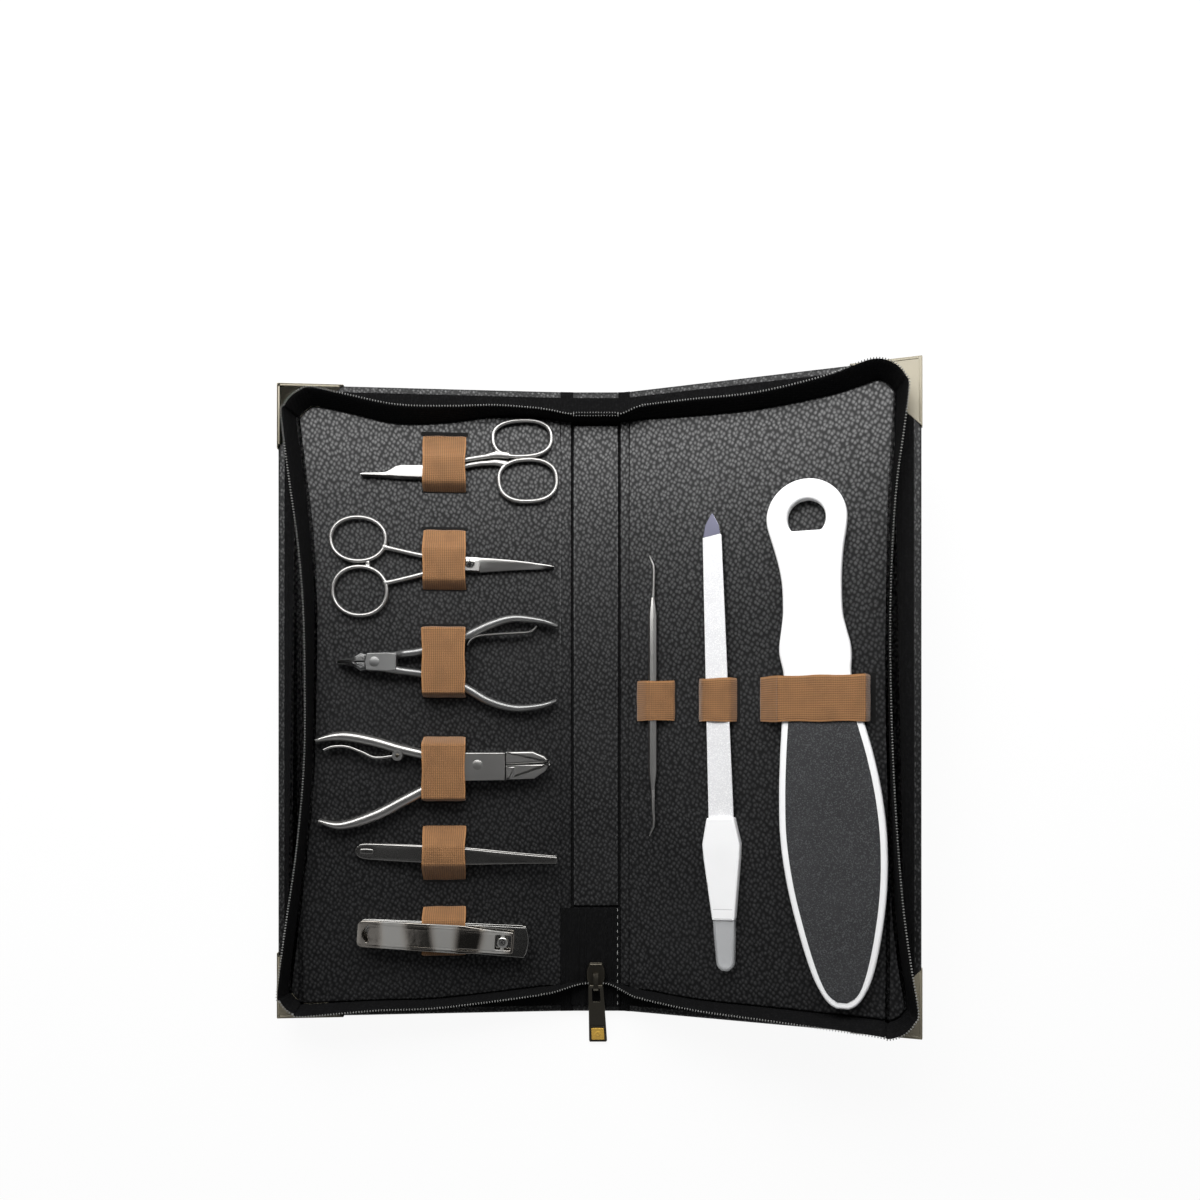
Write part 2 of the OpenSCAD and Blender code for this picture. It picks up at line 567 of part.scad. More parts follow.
eye_top = axle_h + 1.3;
module clipper() on_left() seated() foot_row()
    translate([clipper_end[0], clipper_end[1], 0]) rotate([0, 0, clipper_turn]) children();
module clipper_outline() {
    bulge = 1.6;                                        // how far the cutting edge bows out
    a = clipper_rear_w / 2;
    b = clipper_jaw_w / 2;
    polygon(concat(
        [for (t = [90:15:270]) [3 + 3 * cos(t), a * sin(t)]],
        [for (t = [-1:0.25:1]) [clipper_l - bulge * t * t, b * t]]));
}
module leaf(points) intersection() {
    slab(-1, 12) clipper_outline();
    translate([0, 10, 0]) rotate([90, 0, 0]) linear_extrude(20) polygon(points);
}
module clipper_bores() {
    disc([rear_x, 0], screw_r + 0.1, -1, 12);
    disc([pin_x, 0], pin_r + 0.3, -1, 12);
}
module clipper_lower_leaf() color(bright_steel) clipper() difference() {
    leaf([[-1, leaf_low], [clipper_l + 1, leaf_low], [clipper_l + 1, lower_jaw_top],
        [clipper_l - jaw_lip - 1.6, lower_jaw_top - 0.8], [clipper_l - jaw_lip - 1.6, lower_top], [-1, lower_top]]);
    clipper_bores();
}
module clipper_upper_leaf() color(bright_steel) clipper() difference() {
    x1 = clipper_l + 1;
    leaf([[-1, upper_low(0)], [rear_x, upper_low(rear_x)], [clipper_l - 3.4, upper_low(clipper_l - 3.4)],
        [clipper_l - 3.2, upper_jaw_low + 0.3], [x1, upper_jaw_low], [x1, upper_low(x1) + leaf_t],
        [rear_x, upper_low(rear_x) + leaf_t], [-1, upper_low(0) + leaf_t]]);
    clipper_bores();
}
module clipper_rivet() color(bright_steel) clipper() {
    disc([rear_x, 0], 2.4, 0, leaf_low);
    disc([rear_x, 0], screw_r, leaf_low - eps, upper_low(0) + leaf_t + 0.2);
    disc([rear_x, 0], 2.4, upper_low(rear_x + 2.4) + leaf_t + 0.05, upper_low(rear_x + 2.4) + leaf_t + 0.5);
}
module clipper_pin() color(bright_steel) clipper() difference() {
    union() {
        disc([pin_x, 0], eye_r, 0, leaf_low - 0.05);
        disc([pin_x, 0], pin_r, leaf_low - 0.1, axle_h - 2);
        disc([pin_x, 0], eye_r, axle_h - 2.3, eye_top);
    }
    translate([pin_x, -10, axle_h]) rotate([-90, 0, 0]) cylinder(r = axle_r + 0.08, h = 20);
}
module clipper_lever() color(bright_steel) clipper() {
    difference() {
        intersection() {
            slab(0, 20) polygon([
                [0.8, -4.4], [2.4, -5.8], [46, -6.2], [57, -5.2], [68.8, -4.7], [68.8, 4.7], [57, 5.2], [46, 6.2],
                [2.4, 5.8], [0.8, 4.4]
            ]);
            translate([0, 10, 0]) rotate([90, 0, 0]) linear_extrude(20) polygon([
                [0, lever_low[0]], [57, lever_low[1]], [60, axle_h - 0.7], [70, axle_h - 0.7],
                [70, axle_h + 0.9], [60, axle_h + 0.9], [57, lever_low[1] + lever_t], [0, lever_low[0] + lever_t]
            ]);
        }
        slab(0, 20) translate([pin_x - 3.3, -3.2]) square([7, 6.4]);
        slab(0, 20) polygon(ribbon(smooth([[5.4, -3.4, 1], [4, 0, 2.4], [5.4, 3.4, 1]], 4)));
    }
    translate([pin_x, -4.5, axle_h]) rotate([-90, 0, 0]) cylinder(r = axle_r, h = 9);
}

// ---- probe ----
probe_u = 14.6;
probe_ends = [-39.6, 45.7];
probe_taper = 8;
probe_top_tip = [[14.6, 45.2, 1.5], [15.2, 53, 1.3], [15.5, 59.6, 1.2], [14.6, 62.4, 1.4], [13, 64.6, 0.8]];
probe_foot_tip = [[14.6, -39.2, 1.5], [15.3, -46, 1.3], [15.9, -52, 1.2], [15.2, -57, 1.5], [14.4, -61, 1]];
module probe() color(steel) on_right() seated() {
    translate([probe_u, probe_ends[0] + probe_taper, probe_r]) rotate([-90, 0, 0])
        cylinder(r = probe_r, h = probe_ends[1] - probe_ends[0] - 2 * probe_taper);
    translate([probe_u, probe_ends[0], probe_r]) rotate([-90, 0, 0])
        cylinder(r1 = 0.8, r2 = probe_r, h = probe_taper + eps);
    translate([probe_u, probe_ends[1] - probe_taper - eps, probe_r]) rotate([-90, 0, 0])
        cylinder(r1 = probe_r, r2 = 0.8, h = probe_taper + eps);
    bent_bar(probe_top_tip, probe_r - 0.6, probe_r + 0.6);
    bent_bar(probe_foot_tip, probe_r - 0.6, probe_r + 0.6);
}

// ---- nail file ----
// Its own frame: y from the handle's mouth towards the tip
file_turn = 1.86;
file_l = 132;
file_low = (handle_t - file_t) / 2;
file_high = (handle_t + file_t) / 2;
tang_l = 12;
cap_y = -43.9;
module nail_file() on_right() seated()
    translate([file_mouth[0], file_mouth[1], 0]) rotate([0, 0, file_turn]) children();
module tang(grow = 0) slab(file_low - grow, file_high + grow)
    translate([-4 - grow, -tang_l - grow]) square([8 + 2 * grow, tang_l + grow + eps]);
module nail_file_blade() color(steel) nail_file() {
    slab(file_low, file_high) polygon([[-5.5, 0], [5.5, 0], [4.1, file_l - 11], [0.4, file_l], [-4.1, file_l - 13]]);
    tang();
}
stub_l = 6;
module nail_file_handle() color(white_plastic) nail_file() difference() {
    slab(0, handle_t) polygon([
        [-5.9, 0], [5.9, 0], [8.2, -9], [7.9, -16], [5.1, -42], [4.9, cap_y + 0.2], [-4.9, cap_y + 0.2], [-5.1, -42],
        [-7.9, -16], [-8.2, -9]
    ]);
    tang(0.05);
    slab(file_low - 0.05, file_high + 0.05) translate([-2.3, cap_y - 1]) square([4.6, stub_l + 1.2]);
}
module nail_file_pusher() color(bright_steel) nail_file() slab(file_low, file_high)
    polygon([[-2.2, cap_y + stub_l], [2.2, cap_y + stub_l], [2.2, cap_y - 10], [2.5, cap_y - 14],
        [1.6, cap_y - 17.6], [-1.6, cap_y - 17.6], [-2.5, cap_y - 14], [-2.2, cap_y - 10]]);
module cap_form(w, y1, y2, low, high) slab(low, high)
    polygon([[-w, y1], [-w * 0.86, y1 - 12], [-w * 0.6, y2 + 2], [-w * 0.3, y2], [w * 0.3, y2], [w * 0.6, y2 + 2],
        [w * 0.86, y1 - 12], [w, y1]]);
module nail_file_cap() color(clear_plastic) nail_file() difference() {
    cap_form(4.9, cap_y, cap_y - 22.4, 0.5, handle_t - 0.5);
    cap_form(3.8, cap_y + 1, cap_y - 20.6, 1.5, handle_t - 1.5);
}

// ---- foot file ----
pad_proud = 0.3;
paddle_low = pad_proud;
paddle_high = paddle_low + paddle_t;
paddle_top = paddle_high + pad_proud;
head = [80.7, 77];
head_angles = [84, 76, 66, 54, 42, 30, 18, 6, -6, -17, -26];
paddle_form = [
    for (a = head_angles) [head[0], head[1] + head_r * sin(a), 2 * head_r * cos(a)],
    [81.8, 62.5, 28], [82.6, 55, 25.6], [83.1, 46, 24.2], [83.4, 36, 24.4], [84, 27, 26.6], [85, 18, 28.8],
    [86, 10, 29.6], [87.4, 0, 31.4], [88.6, -10, 33.4], [90.2, -25, 38.4], [91.4, -42, 42], [92.2, -60, 42.4],
    [93.4, -80, 38.6], [94.8, -100, 31.6], [95.8, -115, 23.6], [96.3, -123, 16.4], [96.6, -127.4, 9.6],
    [96.7, -129.2, 4]
];
foot_tip_inset = [31.3, 10.8];                          // of the tip, from the cover's free edge and foot edge
paddle_tip = flat([paddle_form[len(paddle_form) - 1]])[0];
foot_place = [cover_w - foot_tip_inset[0], foot_tip_inset[1] - half_h] - paddle_tip;
function paddle_side(v, side) =
    lookup(v, [for (p = paddle_form) [p[1], p[0] + side * p[2] / 2]]) + foot_place[0];
foot_file_sides = [                                     // the paddle's sides under its band
    min(paddle_side(-band_w / 2 - foot_place[1], -1), paddle_side(band_w / 2 - foot_place[1], -1)),
    max(paddle_side(-band_w / 2 - foot_place[1], 1), paddle_side(band_w / 2 - foot_place[1], 1))
];
file_mouth = [(probe_u + foot_file_sides[0]) / 2 + 2.7, foot_shift - 50.9];   // the nail file lies half way to the probe
pad_points = [for (p = paddle_form) if (p[1] < 6) p];
pad_rim = 2.8;
module foot_file() on_right() seated() translate(foot_place) children();
module foot_file_paddle() color(white_plastic) foot_file() difference() {
    slab(paddle_low, paddle_high) polygon(ribbon(smooth(paddle_form, 3)));
    slab(-1, 20) difference() {
        translate(head) circle(head_hole_r);
        translate([head[0] - 20, head[1] - 40 - 5.2]) square(40);
    }
    pad(paddle_low - pad_proud, paddle_low - pad_proud + pad_t, 0.1);
    pad(paddle_top - pad_t, paddle_top, 0.1);
}
module pad(low, high, grow = 0) slab(low, high)
    polygon(ribbon(smooth(narrowed(concat(
        [[pad_points[0][0] - 0.2 * grow, pad_points[0][1] + grow, pad_points[0][2]]],
        [for (i = [1:len(pad_points) - 3]) pad_points[i]],
        [[paddle_tip[0] - 0.3, paddle_tip[1] + 3 - grow, 8]]), 2 * (pad_rim - grow)), 3)));
module foot_file_front_pad() color(grit) foot_file() pad(paddle_top - pad_t, paddle_top);
module foot_file_back_pad() color(grit) foot_file() pad(paddle_low - pad_proud, paddle_low - pad_proud + pad_t);

on_left() cover();  // left_cover
on_left() lining(left_zip);  // left_lining
on_left() zip_tape(left_zip);  // left_zip_tape
on_left() zip_teeth(left_zip);  // left_zip_teeth
on_left() corner_caps();  // left_corner_caps
spine_board();
spine_flap();
top_gusset();
zip_tail();
zip_slider();
pull_tab();
pull_inlay();
on_right() cover();  // right_cover
on_right() lining(right_zip);  // right_lining
on_right() zip_tape(right_zip);  // right_zip_tape
on_right() zip_teeth(right_zip);  // right_zip_teeth
on_right() corner_caps();  // right_corner_caps
cuticle_scissors_loop();
nail_scissors_loop();
cuticle_nipper_loop();
nail_nipper_loop();
tweezers_loop();
clipper_loop();
probe_loop();
nail_file_loop();
foot_file_loop();
cuticle_scissors_upper_half();
cuticle_scissors_lower_half();
cuticle_scissors_screw();
nail_scissors_upper_half();
nail_scissors_lower_half();
nail_scissors_screw();
cuticle_nipper_upper_half();
cuticle_nipper_lower_half();
cuticle_nipper_rivet();
cuticle_nipper_spring();
nail_nipper_upper_half();
nail_nipper_lower_half();
nail_nipper_rivet();
nail_nipper_spring();
nail_nipper_spring_pin();
tweezers_lower_arm();
tweezers_upper_arm();
clipper_lower_leaf();
clipper_upper_leaf();
clipper_rivet();
clipper_pin();
clipper_lever();
probe();
nail_file_blade();
nail_file_handle();
nail_file_pusher();
nail_file_cap();
foot_file_paddle();
foot_file_front_pad();
foot_file_back_pad();
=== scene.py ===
import math

import bmesh
import bpy
from mathutils import Matrix, Vector
from mathutils.geometry import tessellate_polygon


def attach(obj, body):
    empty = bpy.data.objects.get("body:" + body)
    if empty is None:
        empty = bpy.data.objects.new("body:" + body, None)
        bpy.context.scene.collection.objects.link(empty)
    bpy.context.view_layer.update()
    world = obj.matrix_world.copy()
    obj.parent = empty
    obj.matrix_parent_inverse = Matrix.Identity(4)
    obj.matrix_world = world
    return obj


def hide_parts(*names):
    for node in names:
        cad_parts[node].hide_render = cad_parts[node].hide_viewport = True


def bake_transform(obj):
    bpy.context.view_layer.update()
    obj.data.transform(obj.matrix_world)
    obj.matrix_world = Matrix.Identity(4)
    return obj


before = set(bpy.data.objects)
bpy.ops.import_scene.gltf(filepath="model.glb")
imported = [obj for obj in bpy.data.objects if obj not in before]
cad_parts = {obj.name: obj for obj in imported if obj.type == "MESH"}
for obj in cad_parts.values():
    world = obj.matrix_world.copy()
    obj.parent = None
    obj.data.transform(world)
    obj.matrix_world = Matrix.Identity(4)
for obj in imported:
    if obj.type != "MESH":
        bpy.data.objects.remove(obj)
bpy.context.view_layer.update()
scene = bpy.context.scene
mm = 0.001

# where the panels lie; sizes here and below are millimetres and degrees
case = {
    "spineHalf": 13, "foldHeight": 1.5, "lift": {"left": 4.4, "right": -18.8},
    "coverWidth": 128, "halfHeight": 140, "coverStart": 1.8, "coverTop": 3, "liningTop": 4.2, "seat": 4.5,
}
outwards = {"left": -1, "right": 1}
onSpine = Matrix.Scale(mm, 4)


def spun(degrees, axis):
    return Matrix.Rotation(math.radians(degrees), 4, axis)


def panel(side, at=(0, 0), turn=0, up=0):
    # u outwards from the fold and v up the case, to metres in the shared frame
    out, high = outwards[side], case["foldHeight"]
    return (onSpine @ Matrix.Translation((out * case["spineHalf"], 0, high)) @ spun(case["lift"][side], "Y")
            @ Matrix.Translation((0, 0, -high)) @ Matrix.Diagonal((out, 1, 1, 1))
            @ Matrix.Translation((*at, up)) @ spun(turn, "Z"))


def seated(side, at=(0, 0), turn=0):
    return panel(side, at, turn, case["seat"])


onLeft, onRight = seated("left"), seated("right")


def cosd(degrees):
    return math.cos(math.radians(degrees))


def sind(degrees):
    return math.sin(math.radians(degrees))


# lines and outlines
def smoothLine(points, steps):
    last = len(points) - 1
    line = []
    for i in range(last):
        a, b, c, d = (points[max(min(k, last), 0)] for k in (i - 1, i, i + 1, i + 2))
        for k in range(steps):
            t = k / steps
            line.append(tuple(0.5 * (2 * q + (r - p) * t + (2 * p - 5 * q + 4 * r - s) * t * t
                                     + (3 * q - p - 3 * r + s) * t ** 3) for p, q, r, s in zip(a, b, c, d)))
    return line + [tuple(points[-1])]


def sideways(line, i, closed=False):
    n = len(line)
    ahead = line[(i + 1) % n] if closed else line[min(i + 1, n - 1)]
    behind = line[i - 1] if closed else line[max(i - 1, 0)]
    d = Vector((ahead[0] - behind[0], ahead[1] - behind[1])).normalized()
    return Vector((-d.y, d.x))


def upright(line):
    # an outline from (middle, height, width) rows
    return [(u - w / 2, v) for u, v, w in line] + [(u + w / 2, v) for u, v, w in line][::-1]


def ribbon(line):
    sides = [[(Vector(p[:2]) + sideways(line, i) * p[2] / 2 * way)[:] for i, p in enumerate(line)] for way in (1, -1)]
    return sides[0] + sides[1][::-1]


def area(loop):
    return sum(a[0] * b[1] - b[0] * a[1] for a, b in zip(loop, loop[1:] + loop[:1])) / 2


def wound(loop, rightHanded=True):
    return list(loop) if (area(list(loop)) > 0) == rightHanded else list(loop)[::-1]


def twin(half):
    # one side of an outline that lies along y, with its mirror image
    return wound(half + [(-x, y) for x, y in half[::-1]])


def inset(loop, by):
    # every corner moved to the left of the way the loop runs
    moved = []
    for i, point in enumerate(loop):
        a, b = sideways([loop[i - 1], point], 0), sideways([point, loop[(i + 1) % len(loop)]], 0)
        middle = a + b
        moved.append((Vector(point) + middle * by / max(middle.length_squared / 2, 0.5))[:])
    return moved


def rounded(loop, radius, steps=4):
    # corners sharper than about 20 degrees are rounded
    result = []
    for i, point in enumerate(loop):
        p, a, b = Vector(point), Vector(loop[i - 1]), Vector(loop[(i + 1) % len(loop)])
        to, on = p - a, b - p
        if to.angle(on, 0) < 0.35:
            result.append(point)
            continue
        cut = min(radius, to.length / 2.1, on.length / 2.1)
        start, end = p - to.normalized() * cut, p + on.normalized() * cut
        for k in range(steps + 1):
            t = k / steps
            result.append((start * (1 - t) ** 2 + p * 2 * t * (1 - t) + end * t * t)[:])
    return result


def bent(share, power):
    # the sine or cosine of a squarer circle
    return math.copysign(abs(share) ** (2 / power), share)


def oval(centre, radii, count=72, power=2.0, turn=0.0):
    points = []
    for i in range(count):
        a = 2 * math.pi * i / count
        x, y = bent(math.cos(a), power) * radii[0], bent(math.sin(a), power) * radii[1]
        points.append((centre[0] + x * cosd(turn) - y * sind(turn), centre[1] + x * sind(turn) + y * cosd(turn)))
    return points


# closed forms gathered in one piece
class Shells:
    def __init__(self):
        self.points, self.faces, self.weave, self.paint = [], [], {}, []
        self.colour = 0

    def face(self, corners):
        self.faces.append(corners)
        self.paint.append(self.colour)

    def wall(self, a, b, n):
        # faces between the ring that starts at point a and the one that starts at b
        for k in range(n):
            self.face([a + k, a + (k + 1) % n, b + (k + 1) % n, b + k])

    def tunnel(self, rings, closed=False, weave=None):
        # rings of points joined one to the next, with both mouths shut
        first, n, count = len(self.points), len(rings[0]), len(rings)
        for ring in rings:
            self.points += [Vector(p) for p in ring]
        if weave:
            self.weave.update((first + i, uv) for i, uv in enumerate(weave))
        for r in range(count if closed else count - 1):
            self.wall(first + r * n, first + (r + 1) % count * n, n)
        if not closed:
            self.face([first + k for k in range(n)][::-1])
            self.face([first + (count - 1) * n + k for k in range(n)])
        return self

    def plate(self, loops, low, high, bevel=0.3, under=None, steps=3):
        # a flat plate with rounded edges; the first loop is the outline and the others are holes
        def edge(size, z, way):
            if not size:
                return [(0, z)]
            turns = [90 * (1 - k / steps) for k in range(steps + 1)]
            return [(size + 0.04, z)] + [(size * (1 - cosd(a)), z + way * size * (1 - sind(a))) for a in turns]
        levels = edge(bevel if under is None else under, low, 1) + edge(bevel, high, -1)[::-1]
        ends = [[], []]
        for i, loop in enumerate(loops):
            loop, first, n = wound(loop, not i), len(self.points), len(loop)
            for by, z in levels:
                self.points += [Vector((*p, z)) for p in inset(loop, by)]
            for r in range(len(levels) - 1):
                self.wall(first + r * n, first + (r + 1) * n, n)
            last = first + (len(levels) - 1) * n
            ends[0].append(list(range(first, first + n)))
            ends[1].append(list(range(last, last + n)))
        for up, end in enumerate(ends):
            flat = [i for loop in end for i in loop]
            if len(end) == 1:
                self.face(flat if up else flat[::-1])
            else:
                for tri in tessellate_polygon([[self.points[i] for i in loop] for loop in end]):
                    self.face([flat[k] for k in tri])
        return self

    def bar(self, line, low=0, high=1, power=2.6, sides=16, closed=False, dome=0.5):
        # line: (u, v, width) or (u, v, width, low, high); power 2 is oval and more is squarer
        angles = [2 * math.pi * (k + 0.5) / sides for k in range(sides)]
        section = [(bent(math.cos(a), power), bent(math.sin(a), power)) for a in angles]

        def ring(i, shrink=1.0, move=0.0):
            p = line[i]
            bottom, top = (p[3], p[4]) if len(p) > 3 else (low, high)
            side = sideways(line, i, closed)
            centre, mid, half = Vector(p[:2]) + Vector((side.y, -side.x)) * move, (bottom + top) / 2, (top - bottom) / 2
            return [(*(centre + side * p[2] / 2 * x * shrink), mid + half * z * shrink) for x, z in section]
        rings = [ring(i) for i in range(len(line))]
        if not closed and dome:
            last = len(line) - 1
            turns = (8, 35, 62)
            rings = [ring(0, sind(a), -line[0][2] / 2 * dome * cosd(a)) for a in turns] + rings + \
                [ring(last, sind(a), line[last][2] / 2 * dome * cosd(a)) for a in turns[::-1]]
        return self.tunnel(rings, closed)

    def turned(self, centre, profile, axis="z", sides=32):
        # profile: (radius, height) from one end of the axis to the other
        order = {"x": (2, 0, 1), "y": (0, 2, 1), "z": (0, 1, 2)}[axis]
        rings = []
        for r, h in profile:
            r = max(r, 1e-4)
            spots = [(r * cosd(360 * k / sides), r * sind(360 * k / sides), h) for k in range(sides)]
            rings.append([[c + spot[i] for c, i in zip(centre, order)] for spot in spots])
        return self.tunnel(rings)

    def warp(self, change):
        self.points = [Vector(change(*p)) for p in self.points]
        return self


def joined(piece, body, slot, stands):
    if body:
        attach(piece, body)
    if stands:
        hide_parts(stands)
    return piece


def settled(piece, looks):
    # what the modifiers make becomes the piece's own mesh
    old, done = piece.data, bpy.data.meshes.new_from_object(piece.evaluated_get(bpy.context.evaluated_depsgraph_get()))
    piece.modifiers.clear()
    piece.data = done
    done.name = piece.name
    if not done.materials:
        for look in looks:
            done.materials.append(finish[look])
    bpy.data.meshes.remove(old)


def built(name, shells, place, looks, body, stands=None, slot=None, smooth=38, fuse=None):
    looks = [looks] if isinstance(looks, str) else looks
    mesh = bpy.data.meshes.new(name)
    work = bmesh.new()
    weave = work.loops.layers.uv.new("weave") if shells.weave else None
    corners = [work.verts.new(place @ p) for p in shells.points]
    for ids, paint in zip(shells.faces, shells.paint):
        ids = [i for k, i in enumerate(ids) if shells.points[i] != shells.points[ids[k - 1]]]
        if len(set(ids)) < 3:
            continue
        try:
            face = work.faces.new([corners[i] for i in ids])
        except ValueError:
            continue
        face.smooth = True
        face.material_index = paint
        if weave:
            for loop, i in zip(face.loops, ids):
                loop[weave].uv = shells.weave.get(i, (0, 0))
    bmesh.ops.remove_doubles(work, verts=work.verts, dist=2e-7)
    bmesh.ops.recalc_face_normals(work, faces=work.faces)
    work.to_mesh(mesh)
    work.free()
    piece = bpy.data.objects.new(name, mesh)
    scene.collection.objects.link(piece)
    for look in looks:
        mesh.materials.append(finish[look])
    if fuse:
        # overlapping forms become one skin with soft inner corners
        skin, ease = piece.modifiers.new("skin", "REMESH"), piece.modifiers.new("ease", "SMOOTH")
        skin.mode, skin.voxel_size, skin.use_smooth_shade = "VOXEL", fuse * mm, True
        ease.factor, ease.iterations = 0.5, 4
        settled(piece, looks)
    else:
        mesh.set_sharp_from_angle(angle=math.radians(smooth))
    return joined(piece, body, slot or slots[looks[0]], stands)


class Wire:
    # an output of a node, with arithmetic
    def __init__(self, nodes, socket):
        self.nodes, self.socket = nodes, socket

    def maths(self, operation, *others):
        return self.nodes.add("ShaderNodeMath", {"operation": operation}, dict(enumerate((self, *others))))

    def __add__(self, other):
        return self.maths("ADD", other)

    def __mul__(self, other):
        return self.maths("MULTIPLY", other)

    def __sub__(self, other):
        return self.maths("SUBTRACT", other)

    def __rsub__(self, other):
        return self.nodes.add("ShaderNodeMath", {"operation": "SUBTRACT"}, {0: other, 1: self})

    __radd__, __rmul__ = __add__, __mul__

    def sine(self):
        return self.maths("SINE")

    def between(self, low, high, start=0.0, end=1.0):
        # start below low, end above high, smooth in between
        return self.nodes.add("ShaderNodeMapRange", {"interpolation_type": "SMOOTHSTEP"}, {
            "Value": self, "From Min": low, "From Max": high, "To Min": start, "To Max": end})


class Nodes:
    # a node tree, filled with nodes that take their settings and inputs as they are made
    def __init__(self, tree):
        self.tree = tree

    def feed(self, socket, value):
        if isinstance(value, Wire):
            self.tree.links.new(value.socket, socket)
        else:
            socket.default_value = (*value, 1) if socket.type == "RGBA" and len(value) == 3 else value

    def add(self, kind, settings=None, values=None, output=0):
        node = self.tree.nodes.new(kind)
        for setting, value in (settings or {}).items():
            setattr(node, setting, value)
        for socket, value in (values or {}).items():
            self.feed(node.inputs[socket], value)
        return Wire(self, node.outputs[output]) if node.outputs else None

    def split(self, wire, axis):
        return self.add("ShaderNodeSeparateXYZ", {}, {0: wire}, "XYZ".index(axis))


class Finish(Nodes):
    def __init__(self, name, colour, roughness=0.5, **constants):
        self.material = bpy.data.materials.new(name)
        self.material.use_nodes = True
        super().__init__(self.material.node_tree)
        self.shader = self.tree.nodes["Principled BSDF"]
        self.shown(Base_Color=colour, Roughness=roughness, **constants)

    def shown(self, **values):
        for socket, value in values.items():
            self.feed(self.shader.inputs[socket.replace("_", " ")], value)
        return self.material

    def place(self, stretch=(1, 1, 1), turn=0):
        return self.add("ShaderNodeMapping", {}, {
            "Vector": self.add("ShaderNodeTexCoord", output="Object"), "Rotation": (0, 0, math.radians(turn)),
            "Scale": stretch})

    def noise(self, scale, detail=2.0, at=None, output=0):
        values = {"Vector": at or self.place(), "Scale": scale, "Detail": detail}
        return self.add("ShaderNodeTexNoise", {}, values, output)

    def mix(self, factor, a, b):
        return self.add("ShaderNodeMix", {"data_type": "RGBA"}, {0: factor, 6: a, 7: b}, 2)

    def bump(self, height, depth):
        return self.add("ShaderNodeBump", {}, {"Height": height, "Distance": depth * mm, "Strength": 1.0})


def scaled(colour, by):
    return tuple(c * by for c in colour)


def pebbleLeather(name, dark, pale, cell, shine, depth=0.3, dimensions="2D"):
    # glossy domed grains, nearly touching, with matt dark valleys between them; each dome's top carries a painted
    # highlight in its colour
    f = Finish(name, dark, 0.6, Specular_IOR_Level=0.15, Coat_IOR=1.75, Coat_Roughness=shine)
    place = f.place((1, 0.8, 1), 32)
    drift = f.add("ShaderNodeVectorMath", {"operation": "MULTIPLY_ADD"},
                  {0: f.noise(260, 1, place, 1), 1: (0.001,) * 3, 2: place})
    cells = {"Vector": drift, "Scale": 1000 / cell, "Randomness": 0.55}
    kind = {"feature": "F1", "voronoi_dimensions": dimensions}
    grain = [f.add("ShaderNodeTexVoronoi", kind, cells, i) for i in (0, 1)]
    dome, each = 1 - grain[0].between(0.0, 0.6), grain[1].between(-0.7, 0.9)
    tone = f.mix(f.noise(26, 3).between(0.3, 0.75), dark, pale)
    height = dome * (0.5 + 0.5 * each) + 0.06 * f.noise(2600, 2)
    # the base colour paints each dome's top paler (up to three times the pale tone): a painted highlight on every
    # grain, besides the real coat gloss
    return f.shown(Base_Color=f.mix(dome * each, tone, scaled(pale, 3)), Coat_Weight=0.2 + dome * (0.35 + 0.75 * each),
                   Normal=f.bump(height, depth))


def wovenBlack(name, colour, pitch=(1.3, 0.5)):
    f = Finish(name, colour, 0.85, Specular_IOR_Level=0.12)
    ribs = [(f.split(f.place(), axis) * (2000 * math.pi / p)).sine() * 0.5 for axis, p in zip("XY", pitch)]
    dust = f.noise(900, 3)
    return f.shown(Base_Color=f.mix(dust.between(0.45, 0.8), colour, scaled(colour, 2.2)),
                   Normal=f.bump(ribs[0] + ribs[1] + dust, 0.08))


def steel(name, colour, shine, streak=0.05, bumpy=0.01, metallic=1.0):
    # turned and buffed metal: faint streaks and softly uneven gloss
    f = Finish(name, colour, shine, Metallic=metallic)
    streaks, cloud = f.noise(900, 2, f.place((0.12, 1, 1), 3)), f.noise(60, 2)
    return f.shown(Base_Color=f.mix(cloud.between(0.3, 0.8), colour, scaled(colour, 0.86)),
                   Roughness=shine + streak * 2 * streaks - streak + 0.05 * cloud, Normal=f.bump(streaks, bumpy))


def paintedReflectionSteel(name, pitch=21.5, first=-66.24):
    # polished steel with painted reflections: milky brown and dark grey patches painted into its colour and metalness
    # in bands, from the first place on, in millimetres
    f = Finish(name, (0.7, 0.69, 0.66), 0.09)
    along = (f.split(f.place(), "X") * 1000 - first) * (2 * math.pi / pitch)
    patch = (along + 3 * f.noise(38, 1)).sine().between(-0.5, 0.8)
    return f.shown(Metallic=1 - 0.72 * patch, Base_Color=f.mix(patch, (0.5, 0.46, 0.41), (0.3, 0.295, 0.28)),
                   Normal=f.bump(f.noise(220, 2), 0.02))


def elastic(name, colour, ribPitch=0.92, threadPitch=0.74):
    # ribs along the band and finer threads across it, from the band's own map in millimetres
    f = Finish(name, colour, 0.8, Sheen_Weight=0.3)
    uv = f.add("ShaderNodeUVMap", {"uv_map": "weave"})
    across, along, wear = f.split(uv, "X"), f.split(uv, "Y"), f.noise(140, 4)
    thread = (along * (2 * math.pi / threadPitch)).sine()
    cloth = (across * (2 * math.pi / ribPitch)).sine() * 0.3 + thread * 0.2 + 0.5
    dark, pale = scaled(colour, 0.6), scaled(colour, 1.2)
    shade = f.mix(cloth.between(0.1, 0.8), dark, pale)
    worn = f.mix(wear.between(0.35, 0.8), shade, f.mix(0.5, shade, dark))
    edge = across.maths("ABSOLUTE").between(8.5, 9.1)
    return f.shown(Base_Color=f.mix(edge * 0.5, worn, scaled(pale, 1.5)), Normal=f.bump(cloth + 0.4 * wear, 0.12))


